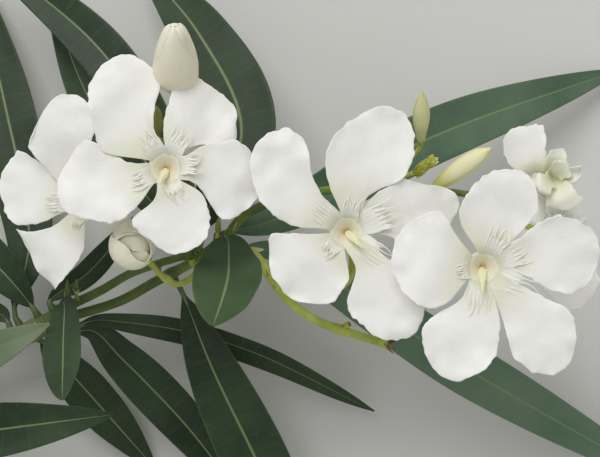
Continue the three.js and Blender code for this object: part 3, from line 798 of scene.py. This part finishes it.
def half_width(values, share):
    """A smooth edge through evenly spaced half widths, read at a share of its length."""
    ends = (2 * values[0] - values[1], *values, 2 * values[-1] - values[-2])
    place = min(max(share, 0), 0.9999) * (len(values) - 1)
    a, b, c, d = ends[int(place):int(place) + 4]
    t = place % 1
    bend, turn = a - 2.5 * b + 2 * c - d / 2, 1.5 * (b - c) + (d - a) / 2
    return b + (c - a) * t / 2 + bend * t**2 + turn * t**3


def petal(name, place, finish, turn, reach, left, right, corners, lift, curl=1, twist=0.8, cup=1.0,
          soft=1.0, roundness=PETAL_ROUNDNESS, root=PETAL_ROOT):
    """Left and right are the half widths at each quarter of the reach. Corners are how far out
    the two shoulders lie, as a share of the reach. Lift and curl are how far the blade rises along
    its length and its end bends down, and soft is how much it sways."""
    seed = Vector((reach * 3.1, turn * 0.37, left[-1] + right[-1]))
    spin = Matrix.Rotation(math.radians(turn), 3, "Z")

    def point(s, u):
        widths, corner = (left, corners[0]) if u > 0 else (right, corners[1])
        side = abs(u)
        half = half_width((PETAL_FOOT, *widths), s)
        out = root + (reach - root) * (s - (1 - corner) * side**roundness * s * s)
        aside = u * half
        flat = Vector((out, aside, 0))
        rim = max(side, s) ** 10 * min(1, 3 * s)
        notch = noise.noise(seed + flat / NOTCH_LENGTH)
        notch += BAY_DEPTH * noise.noise(seed + flat / BAY_LENGTH)
        out += NOTCH_DEPTH * notch * rim * s
        aside += NOTCH_DEPTH * notch * rim * u
        rise = lift * math.sin(math.pi / 2 * s) - curl * s**3 - funnel(math.hypot(out, aside))
        rise += twist * u * (0.2 + s) + cup * (side * side - 0.4) * s
        sway = noise.noise(seed + flat / SWAY_LENGTH + 3 * UP)
        ripple = noise.noise(seed + flat / RIPPLE_LENGTH + 9 * UP)
        rise += soft * min(1, 1.6 * s) * (SWAY * sway + RIPPLE * ripple * max(side, s) ** 4)
        return place @ (spin @ Vector((out, aside, rise)))

    return sheet(name, point, PETAL_ALONG, PETAL_ACROSS, PETAL_THICKNESS, [finish])


# The corona: a fringed scale at the foot of each petal. It is a ribbed plate that stands out of
# the throat, and its ribs part into soft pale threads that curl over the petal.
RIBS = 6
RIB_STEPS = 14
RIB_DEPTH = 0.05
SCALE_FOOT = 3.3
SCALE_SHARE = 0.58
SCALE_FAN = 36
SCALE_END_FAN = 18
SCALE_RISE = 1.15
SCALE_SINK = 0.3
SCALE_THICKNESS = 0.2
THREAD_RADIUS = 0.22
THREAD_START = 0.7
THREAD_SIDES = 8

fringe_cream = mottled("fringe_cream", (240, 240, 226), (248, 248, 240), (380, 3), 0.5, 0.05, glow=0.25)


def fringe(node, place, scales):
    """Scales gives the way of each scale and the reach of its longest thread."""
    draw = random.Random(node)
    plates, threads = [], []
    for turn, reach in scales:
        length = (reach - SCALE_FOOT) * SCALE_SHARE

        def over_petal(out, way, rise):
            angle = math.radians(turn + way * (SCALE_FAN + (SCALE_END_FAN - SCALE_FAN) * rise))
            height = SCALE_RISE * math.sin(math.pi / 2 * min(rise, 1)) - SCALE_SINK - funnel(out)
            return Vector((out * math.cos(angle), out * math.sin(angle), height))

        def plate(s, u):
            rib = math.cos(math.pi * RIBS * (u + 1))
            out = SCALE_FOOT + length * (s - 0.12 * rib * s**3)
            return place @ (over_petal(out, u, s) - UP * (RIB_DEPTH * rib * min(1, 2 * s)))

        plates.append(sheet("plate", plate, 8, 6 * RIBS, SCALE_THICKNESS, [fringe_cream]))
        for rib in range(RIBS):
            way = (2 * rib + 1) / RIBS - 1
            end = SCALE_FOOT + length + (reach - SCALE_FOOT - length) * draw.uniform(0.4, 1.1)
            start = SCALE_FOOT + THREAD_START * length
            sway, hook, height = draw.uniform(-0.5, 0.5), draw.uniform(-1.5, 1.5), draw.uniform(0, 0.6)
            line = []
            for step in range(RIB_STEPS + 1):
                t = step / RIB_STEPS
                spot = over_petal(start + (end - start) * t, way, THREAD_START + 0.5 * t)
                aside = sway * math.sin(math.pi * t) + hook * max(0, t - 0.4) ** 2 * 2
                spot += Vector((-spot.y, spot.x, 0)).normalized() * aside
                spot += UP * (0.1 + height * math.sin(math.pi * 0.85 * t))
                line.append((place @ spot, THREAD_RADIUS * (1.15 - t) ** 0.6))
            threads.append(line)
    give(joined(node + "_corona_scales", plates), node)
    give(rods(node + "_corona_threads", threads, THREAD_SIDES), node, fringe_cream)


# The anthers stand in the throat and cling together round the stigma in a ridged spindle. Their
# feathery tails are wound together at its tip.
ANTHERS = 5
SPINDLE_FOOT = -6.5
SPINDLE_LENGTH = 9
SPINDLE_CORE = 0.3
SPINDLE_SWELLING = 0.75
SPINDLE_RIDGE = 0.08
SPINDLE_WALL = 0.1
TAIL_RADIUS = 0.24
TAIL_STEPS = 10

anther_yellow = mottled("anther_yellow", (234, 231, 182), (246, 244, 212), (1500, 3), 0.7, 0.12, glow=0.1)


def anthers(node, place, lean):
    """Lean is how far the spindle's tip stands from the throat's middle."""
    def leaning(out, angle, t):
        return place @ Vector((out * math.cos(angle) + lean[0] * t**1.5,
                               out * math.sin(angle) + lean[1] * t**1.5,
                               SPINDLE_FOOT + SPINDLE_LENGTH * t))

    def spindle(s, u):
        ridge = 1 + SPINDLE_RIDGE * math.cos(ANTHERS * math.pi * u)
        out = (SPINDLE_CORE + SPINDLE_SWELLING * math.sin(math.pi * s**1.2) ** 0.9) * ridge
        return leaning(out * (1 - 0.5 * s**4), math.pi * u + s, s)

    give(sheet(node + "_anthers", spindle, 22, 30, SPINDLE_WALL, [anther_yellow], True), node)
    shares = [step / TAIL_STEPS for step in range(TAIL_STEPS + 1)]
    tails = [[(leaning(0.45 - 0.25 * t, math.tau * (k / ANTHERS + 0.5 * t), 0.86 + 0.36 * t),
               TAIL_RADIUS * (1.1 - t) ** 0.7) for t in shares] for k in range(ANTHERS)]
    give(rods(node + "_anther_tails", tails, THREAD_SIDES), node, anther_yellow)


# The open flowers: each is put together from its foot, five white petals, the corona and the
# anthers, and grows on a stalk of the cluster. The left front one lies over the others of its
# cluster and hides their middles.
def flower_foot(node, place, length, seat, **route):
    """The tube, throat, cup and stalk of one flower. A tube may be squatter than the others."""
    squat = (1, 1, length / TUBE_LENGTH)
    give(copied(tube, node + "_tube", place, squat), node)
    give(copied(throat, node + "_throat", place), node)
    cup = place @ Matrix.Translation(Vector((0, 0, TUBE_LENGTH - length)))
    give(copied(calyx, node + "_calyx", cup), node)
    pedicel(node + "_stalk", place, -length - CALYX_LENGTH / 2, seat, node, **route)


def bloom(node, centre, face, petals, seat, scales, lean, length=TUBE_LENGTH, **route):
    """One open flower. Petals lists each one's turn, reach, half widths, shoulders and lift, and
    what else sets it apart."""
    place = flower_frame(centre, face)
    flower_foot(node, place, length, seat, **route)
    blades = [petal("petal", place, petal_white, *shape, **folds) for *shape, folds in petals]
    give(joined(node + "_petals", blades), node)
    fringe(node, place, scales)
    anthers(node, place, lean)


bloom("bloom_left_front", (-34, 15.2, 72), (0, 0.05, 1), [
    (113, 30.9, (12.5, 12.5, 11.5, 10.3), (1.2, 3.6, 7.1, 7.4), (0.82, 0.74), 1, {}),
    (50, 24, (7.4, 10, 11.8, 9), (1.5, 5, 8.9, 8), (0.95, 0.72), -1, dict(curl=3.5)),
    (-10, 24.6, (7, 9, 10.2, 8.2), (2.4, 6.8, 10.4, 9), (0.77, 0.78), -1, {}),
    (-80, 21.8, (7.8, 8.9, 8.8, 7.7), (4.1, 9.9, 9.4, 7.4), (0.86, 0.7), 1, {}),
    (197, 28, (7, 9.4, 9.4, 7.6), (4.4, 10.2, 12.4, 10.6), (0.68, 0.7), 2, {}),
], left_tip.seat(0.82, 20), [(118, 11), (64, 12), (8, 10.5), (-66, 9.5), (207, 10)], (-0.5, -3.2))

# The left side flower hangs on the looped stalk and is turned a little away. Its left petals show,
# and its two small right ones lie under the flower before it.
bloom("bloom_left_side", (-56.9, 5.8, 60), (-0.3, -0.08, 1), [
    (98, 29.3, (6.3, 9, 10.5, 8), (4, 6, 8.6, 8.2), (0.66, 0.8), 2, dict(roundness=1.9)),
    (35, 15, (4, 6, 6, 5), (4, 6, 6, 5), (0.8, 0.8), -2, {}),
    (-18, 13.5, (2.6, 3.4, 3.8, 3.2), (2.6, 4, 4.4, 3.6), (0.8, 0.8), -1, dict(cup=2.2, twist=2)),
    (251, 23.1, (4.8, 4.8, 3, 0.6), (5.3, 9, 12.6, 15), (0.98, 0.42), 1, dict(roundness=1.6)),
    (161, 23.3, (7.1, 9.6, 10.6, 8), (4, 6.5, 7.5, 7.5), (0.8, 0.9), 1, {}),
], loop_stalk.seat(0.97, 20), [(100, 9), (45, 9), (-25, 6), (-100, 6), (172, 10)], (-1, 1),
      pull=3, push=3)

# The middle flower has the largest petals. Its right one lies under the next flower, and its thin
# stalk bends round to the lower stalk.
bloom("bloom_middle", (11.8, -0.9, 72), (0, 0, 1), [
    (132, 31.9, (8.7, 11, 11, 10), (1.6, 3.2, 7.2, 6.8), (0.72, 0.9), 3, {}),
    (68, 33.5, (9.3, 12.3, 12, 10), (1.6, 7.6, 8.6, 6.6), (0.74, 0.85), 2, {}),
    (16, 29.5, (7, 8.3, 8.7, 7), (3.6, 8, 9, 7), (0.62, 0.7), -1, {}),
    (-60, 30.6, (5, 8, 10, 8.4), (3, 8.9, 9, 7.7), (0.8, 0.78), 2, {}),
    (222, 22, (9, 10.2, 10.9, 9.4), (6.2, 9.8, 12.3, 9.9), (0.69, 0.75), 2, {}),
], lower_stalk.seat(0.36, 60), [(143, 11.5), (80, 9.5), (24, 16.5), (-38, 14), (226, 8.5)], (3, -3),
      pull=3, push=3, way=[(13.6, -8, 54), (12.6, -13.8, 53), (6, -16.5, 51)])

# The right front flower stands highest, over the end of the lower stalk, and faces straight up
# with all its petals open.
bloom("bloom_right_front", (45.8, -9.8, 77), (0, 0, 1), [
    (172, 23.4, (9.8, 11.7, 11.5, 9.2), (7, 12, 11.8, 9.4), (0.74, 0.78), 3, {}),
    (70, 25.8, (9.5, 11, 9.8, 8.3), (4.2, 6.3, 7.6, 6.2), (0.8, 0.85), 2, {}),
    (12, 29.2, (5, 8, 9, 7.2), (4.1, 8.8, 11, 9.5), (0.8, 0.81), 2, {}),
    (-53, 32, (5, 8, 10.2, 9), (3, 5.6, 7.5, 6.2), (0.75, 0.85), 2, {}),
    (252, 29.2, (6.6, 8.7, 9.4, 7.6), (3.2, 7.6, 10.1, 8.6), (0.78, 0.75), 2, {}),
], lower_stalk.seat(0.97, 20), [(190, 8), (66, 11.5), (25, 15), (-25, 15), (262, 14)], (-0.5, -4.6))

# The right back flower is small and hangs lower, at the end of the right stalk. Only the edges of
# its petals show round the flower before it.
bloom("bloom_right_back", (67.4, -1.4, 56), (0.15, 0, 1), [
    (72, 9.4, (4, 5.6, 6.2, 4.8), (4, 5.4, 5.4, 4.2), (0.8, 0.8), 1, dict(root=1)),
    (122, 12.5, (3, 4.4, 5, 4), (3, 4.4, 5, 4), (0.8, 0.8), 1, dict(root=1)),
    (-78, 20, (4, 6.5, 7.5, 6), (4, 6.5, 7.5, 6), (0.75, 0.75), 3, {}),
    (-150, 15, (4, 6, 7, 6), (4, 6, 7, 6), (0.75, 0.75), 0, {}),
    (0, 8, (3, 5, 5, 4), (3, 5, 5, 4), (0.8, 0.8), -1, {}),
], right_tip.seat(0.95, -90), [(72, 7), (122, 7), (-79, 8), (-150, 8), (0, 7)], (0.3, -1.2), 10,
      pull=2, push=2)


# The buds: soft petals rolled into each other, each with one edge outside and one inside, so that
# the seams wind round. The large one is cream, the half-open one is an ivory cup with one petal
# lapped over it, and the slim ones and the leaf shoots are yellow-green to green.
BUD_ALONG = 26
BUD_ACROSS = 22
BUD_THICKNESS = 0.22


def bud_finish(name, foot, body, tip):
    paint = Paint(name, 0.2)
    share = paint.uv(0)
    streak = paint.streaks(8, 3, 1, 7)
    blotch = paint.cloud(160)
    colour = paint.mix(share.between(0.05, 0.4), foot, body)
    colour = paint.mix(share.between(0.55, 0.95), colour, tip)
    colour = paint.mix(0.25 * streak.between(0.4, 0.7), colour, foot)
    return paint.finish(colour, 0.48 + 0.1 * blotch, 0.6 * streak + 0.4 * blotch, 0.1)


def furled(place, height, radius, profile, finish, petals=5, turn=0, wrap=100, twist=60, step=0.07,
           pointed=0.0):
    """Profile gives shares of the height and the radius. Wrap is the half turn that each petal
    goes round, step how far its one edge stands off, and pointed how much lower its sides end."""
    outline = Limb([(up, broad, 0) for up, broad in profile])
    blades = []
    for k in range(petals):
        def point(s, u, k=k):
            up, broad, _ = outline.at(s)
            angle = math.radians(turn + 360 * k / petals + wrap * u + twist * s)
            out = radius * (broad + step * u * min(1, 2.5 * broad))
            up *= 1 - pointed * abs(u) ** 1.7 * s**2.5 - 0.3 * step * u * s**3
            return place @ Vector((out * math.cos(angle), out * math.sin(angle), height * up))
        blades.append(sheet("furled_petal", point, BUD_ALONG, BUD_ACROSS, BUD_THICKNESS, [finish]))
    return blades


def bud(node, base, tip, radius, profile, finish, slot, seat, cup=0.8, layers=(), pull=2, push=2,
        girth=0.6, **folds):
    """Cup is the size of its calyx. Layers lists the petals that lie over or inside the others:
    their size, their profile and how they are rolled."""
    base, tip = Vector(base), Vector(tip)
    height = (tip - base).length
    place = flower_frame(base, tip - base)
    blades = furled(place, height, radius, profile, finish, **folds)
    for size, shares, rolled in layers:
        blades += furled(place, height, radius * size, shares, finish, **rolled)
    give(joined(node + "_petals", blades), node)
    foot = place @ Matrix.Translation(Vector((0, 0, cup * TUBE_LENGTH)))
    give(copied(calyx, node + "_calyx", foot, (cup, cup, cup)), node)
    pedicel(node + "_stalk", place, -cup, seat, node, pull, push, girth)


LARGE_BUD = [(0, 0.2), (0.09, 0.3), (0.2, 0.68), (0.32, 0.95), (0.43, 1), (0.6, 0.9), (0.76, 0.72),
             (0.88, 0.55), (0.96, 0.38), (1, 0.2)]
BUD_CORE = [(0.4, 0.94), (0.6, 0.88), (0.76, 0.71), (0.88, 0.52), (0.94, 0.32), (0.96, 0.03)]
CUP_BUD = [(0, 0.24), (0.16, 0.4), (0.34, 0.86), (0.54, 1), (0.72, 1), (0.86, 0.93), (0.92, 0.85)]
CUP_CORE = [(0.3, 0.7), (0.6, 0.92), (0.76, 0.88), (0.86, 0.68), (0.9, 0.36), (0.91, 0.02)]
CUP_LAP = [(0, 0.24), (0.16, 0.4), (0.34, 0.86), (0.54, 1), (0.74, 1.02), (0.88, 0.9), (0.97, 0.6),
           (1, 0.3), (1, 0.03)]
SLIM_BUD = [(0, 0.36), (0.2, 0.62), (0.42, 0.94), (0.58, 1), (0.78, 0.74), (0.94, 0.3), (1, 0.04)]
FULL_BUD = [(0, 0.42), (0.2, 0.74), (0.42, 0.97), (0.62, 1), (0.8, 0.8), (0.94, 0.38), (1, 0.05)]
SHOOT = [(0, 0.7), (0.25, 1), (0.55, 0.8), (0.8, 0.4), (1, 0.04)]
SMALL_BUD = [(0, 0.5), (0.3, 0.95), (0.6, 1), (0.85, 0.6), (1, 0.05)]

# The cream darkens towards the bud's foot: partly its own tone, partly painted shade.
cream = bud_finish("bud_cream", (234, 225, 188), (248, 240, 210), (255, 252, 232))
# The ivory is the cream made lighter, brightest at the foot: partly its own colour, partly painted light
# on the half-open bud, which lies in the blooms' shade.
ivory = bud_finish("bud_ivory", (250, 250, 222), (248, 246, 220), (244, 240, 212))
yellow = bud_finish("bud_yellow", (208, 206, 104), (252, 246, 198), (246, 240, 176))
lime = bud_finish("bud_lime", (192, 196, 124), (222, 220, 164), (222, 220, 164))
green = bud_finish("bud_green", (128, 144, 60), (160, 170, 84), (184, 190, 112))
shoot_green = bud_finish("shoot_green", (78, 92, 44), (96, 110, 56), (118, 130, 72))

bud("bud_upright", (-31.7, 34, 61.4), (-31, 50.6, 80.5), 5.7, LARGE_BUD, cream, "bud_cream",
    left_tip.seat(0.98, 30), petals=2, wrap=100, twist=12, step=0.02, pointed=0.22,
    pull=3, push=3, girth=0.85,
    layers=[(1.05, LARGE_BUD, dict(petals=1, turn=-88, wrap=78, twist=-8, step=0.0, pointed=0.3)),
            (0.95, BUD_CORE, dict(petals=2, turn=60, wrap=110, step=0.02))])
bud("bud_half_open", (-43.5, -0.5, 51), (-42.8, -6.2, 68), 5.7, CUP_BUD, ivory, "bud_cream",
    loop_stalk.seat(0.84, 0), petals=2, turn=150, wrap=112, twist=40, step=0.06, girth=0.85,
    layers=[(0.97, CUP_CORE, dict(petals=2, turn=20, wrap=98, twist=90, step=0.1)),
            (1.04, CUP_LAP, dict(petals=1, turn=278, wrap=90, twist=-75, step=0.0))])
bud("bud_slim_upright", (31.4, 22.4, 58), (31.1, 34.9, 66), 2.05, SLIM_BUD, lime, "bud_yellow",
    right_stalk.seat(0.98, 60), cup=0.5, petals=3, turn=-30, wrap=85, twist=30, pull=3, push=3)
bud("bud_slim_slanting", (35.2, 10.8, 57), (48.7, 20.4, 64), 2.45, FULL_BUD, yellow, "bud_yellow",
    right_tip.seat(0.1, 20), cup=0.6, petals=3, turn=-60, wrap=85, twist=30, push=3)
bud("bud_small_left", (-37.3, 24.9, 55), (-37, 31.5, 61), 1.3, SMALL_BUD, green, "green_stem",
    left_tip.seat(0.93, 80), cup=0.5)
bud("shoot_fork_left", (-63.2, -18.5, 35), (-62.8, -13.9, 39), 0.65, SHOOT, shoot_green, "green_stem",
    main_stem.seat(0.985, 30), cup=0.5, pull=1, push=1)
bud("shoot_fork_right", (-60.6, -16.6, 37), (-60.2, -13.6, 40), 0.55, SHOOT, shoot_green, "green_stem",
    left_stalk.seat(0.12, 30), cup=0.5, pull=1, push=1, girth=0.5)
bud("shoot_whorl", (-22, -0.5, 43), (-21.6, 3, 46), 0.65, SHOOT, green, "green_stem",
    joining_stem.seat(0.97, 30), cup=0.4, pull=1, push=1, girth=0.5)


# The green tuft: a spent cluster's last sepals and bracts, soft and yellow-green. They stand in a
# toothed bunch round a short core, on a stalk of its own.
BRACT_THICKNESS = 0.22
TUFT_CORE = ((0, 0.5), (1, 1.1), (4, 1.4), (6.5, 0.9), (7, 0.2))
TUFT_SCALES = 18
SCALE_TURN = 137.5

tuft_green = bud_finish("tuft_yellow_green", (168, 170, 50), (188, 190, 74), (212, 216, 130))


def bract(place, turn, base, length, width, lean, finish):
    """A narrow pointed scale, by its way out, its foot's height and how far its tip leans out."""
    def point(s, u):
        half = width / 2 * math.cos(math.pi / 2 * s) ** 0.8 * min(1, 0.5 + 3 * s) + 0.03
        out = 0.35 + lean * (s - 0.25 * s * s)
        spot = Vector((out, u * half, base + length * s - 0.3 * u * u * half))
        return place @ (Matrix.Rotation(math.radians(turn), 3, "Z") @ spot)
    return sheet("scale", point, 10, 6, BRACT_THICKNESS, [finish])


tuft_base, tuft_tip = Vector((30, 14.3, 56)), Vector((36, 18.9, 61))
tuft = flower_frame(tuft_base, tuft_tip - tuft_base)
core = [(tuft @ Vector((0, 0, rise)), radius) for rise, radius in TUFT_CORE]
give(rods("bud_green_tuft_core", [core], STALK_SIDES), "bud_green_tuft", tuft_green)
draw = random.Random(5)
scales = [bract(tuft, SCALE_TURN * k, 0.3 * k, draw.uniform(2.8, 3.6), draw.uniform(2.6, 3.2),
                draw.uniform(1.2, 1.6), tuft_green) for k in range(TUFT_SCALES)]
give(joined("bud_green_tuft_scales", scales), "bud_green_tuft")
pedicel("bud_green_tuft_stalk", tuft, 2, right_stalk.seat(0.93, 20), "bud_green_tuft", 2, 2, 0.6)


# The bracts: small pointed scales where the stalks part. Most are dry and brown, and the ones
# round the parting of the right stalks are still pale green.
BRACT_SET_IN = 0.4
BRACT_LEAN = 0.8

dry = mottled("dry_bract", (92, 80, 50), (140, 124, 82), (500, 4), 0.75, 0.12, (0.35, 0.65))
pale = bud_finish("bract_pale_green", (176, 182, 116), (206, 208, 162), (222, 222, 192))


def bracts(name, limb, node, *places):
    """Places give a share of the limb, the way round it, a length, a width and a finish."""
    pieces = []
    for share, around, length, width, finish in places:
        spot, out = limb.seat(share, around)
        along, _, _ = limb.sides(share)
        place = flower_frame(spot - out * (CLEARANCE + BRACT_SET_IN), along + 0.7 * out)
        pieces.append(bract(place, 0, -BRACT_SET_IN, length, width, BRACT_LEAN, finish))
    give(joined(name, pieces), node)


bracts("looped_stalk_bract", loop_stalk, "looped_stalk",
       (0.5, -80, 2.6, 1.6, dry), (0.52, -120, 2, 1.4, dry))
bracts("lower_stalk_bracts", lower_stalk, "lower_flower_stalk",
       (0.12, 30, 4.5, 2.6, pale), (0.14, -60, 4.5, 2.4, pale), (0.17, 100, 4, 2.2, pale),
       (0.2, -10, 3.8, 2.2, pale), (0.23, -100, 3.4, 2, pale), (0.26, 50, 3.2, 2, pale),
       (0.3, -40, 2.8, 1.8, dry), (0.36, 20, 2.4, 1.6, pale), (0.75, -90, 2, 1.6, dry),
       (0.97, -60, 4.6, 2.8, dry), (0.97, 30, 4.2, 2.8, dry), (0.985, -140, 4.2, 2.6, dry),
       (0.96, 100, 3.8, 2.4, green))
bracts("joining_stem_bracts", joining_stem, "joining_stem",
       (0.95, 60, 3, 2, green), (0.96, -60, 3.4, 2, pale), (0.93, 100, 2.6, 1.8, pale))
bracts("right_stalk_bracts", right_stalk, "right_flower_stalk",
       (0.05, 20, 3, 1.8, green), (0.92, -40, 2.6, 1.6, dry), (0.96, 80, 3, 1.6, green))
bracts("left_stalk_bracts", left_tip, "left_flower_stalk_tip",
       (0.12, 30, 3, 1.8, green), (0.9, -60, 2.8, 1.6, dry))
bracts("fork_bracts", main_stem, "main_stem", (0.99, 40, 3, 2.2, green), (0.985, -30, 2.8, 2, dry))


# The stub on the lower stalk is what a fallen flower's stalk left, as green as the rest. A dry
# brown scar closes its end.
STUB_PLACE = 0.78
STUB_FOOT = (0.8, 0.85)
STUB = ((0.6, 0.75), (1.6, 0.8))
SCAR = ((1.5, 0.82), (1.8, 0.6), (1.9, 0.2))

stub_seat, stub_out = lower_stalk.seat(STUB_PLACE, 60)
stub_way = (stub_out + lower_stalk.sides(STUB_PLACE)[0]).normalized()
stub, scar = ([(stub_seat + stub_way * rise, radius) for rise, radius in steps] for steps in (STUB, SCAR))
stub.insert(0, (stub_seat - stub_out * STUB_FOOT[0], STUB_FOOT[1]))
give(rods("lower_stalk_stub", [stub], STALK_SIDES), "lower_flower_stalk", light_stalk)
give(rods("lower_stalk_scar", [scar], STALK_SIDES), "lower_flower_stalk", dry)


# The right opening flower, on a shorter tube at the end of the right stalk, has one white petal
# spread. The others are still small, and stand crowded in a greenish cream heart.
heart_white = bud_finish("heart_white", (226, 230, 192), (240, 241, 220), (245, 246, 234))
opening = flower_frame((64.1, 12, 61), (0.25, 0.15, 0.95))
flower_foot("bloom_right_opening", opening, 10, right_tip.seat(0.85, 10), pull=2, push=2)
facing = (0.05, -0.05, 1)
spread_petal = petal("bloom_right_opening_petal", flower_frame((61, 11.2, 62), facing), petal_white,
                     100, 15.6, (6.2, 7, 7.3, 7), (3.4, 4, 4.4, 4.3), (0.8, 0.93), 0,
                     soft=0.6, roundness=3.6)
give(spread_petal, "bloom_right_opening")
heart = []
for middle, turn, reach, left, right, corners, folds in (
    ((64.8, 12.6, 63), 74, 8.3, (3, 3.2, 3, 2.3), (2.4, 2.4, 2, 1.2), (0.8, 0.9), {}),
    ((64.8, 12.6, 63.4), 20.6, 8.2, (1.4, 1.4, 1.2, 0.9), (2.6, 2.7, 2.4, 1.6), (0.95, 0.85),
     dict(cup=2.5)),
    ((64.8, 12.6, 64), -62, 8.6, (3.4, 3.4, 3.8, 4.6), (3.6, 4.2, 4.6, 3.4), (0.97, 0.68),
     dict(cup=-0.6, roundness=1.6)),
    ((65, 12.8, 65.4), 50, 5, (2.4, 3, 3, 2.2), (2.4, 3, 3, 2.2), (0.7, 0.7), dict(cup=-0.8)),
    ((65.6, 13, 66), 206, 6, (2, 3, 3.2, 2.4), (2, 2.8, 3, 2.4), (0.7, 0.7), dict(curl=2.2, cup=-1.6)),
):
    heart.append(petal("petal", flower_frame(middle, facing), heart_white, turn, reach, left, right,
                       corners, 1, soft=0.4, root=1, **folds))
give(joined("bloom_right_opening_heart", heart), "bloom_right_opening")


# The tube, throat and cup that every flower was copied from still stand in the middle of the plan.
# Each flower has its own by now, so they are cleared away.
for master in (tube, throat, calyx):
    bpy.data.objects.remove(master)
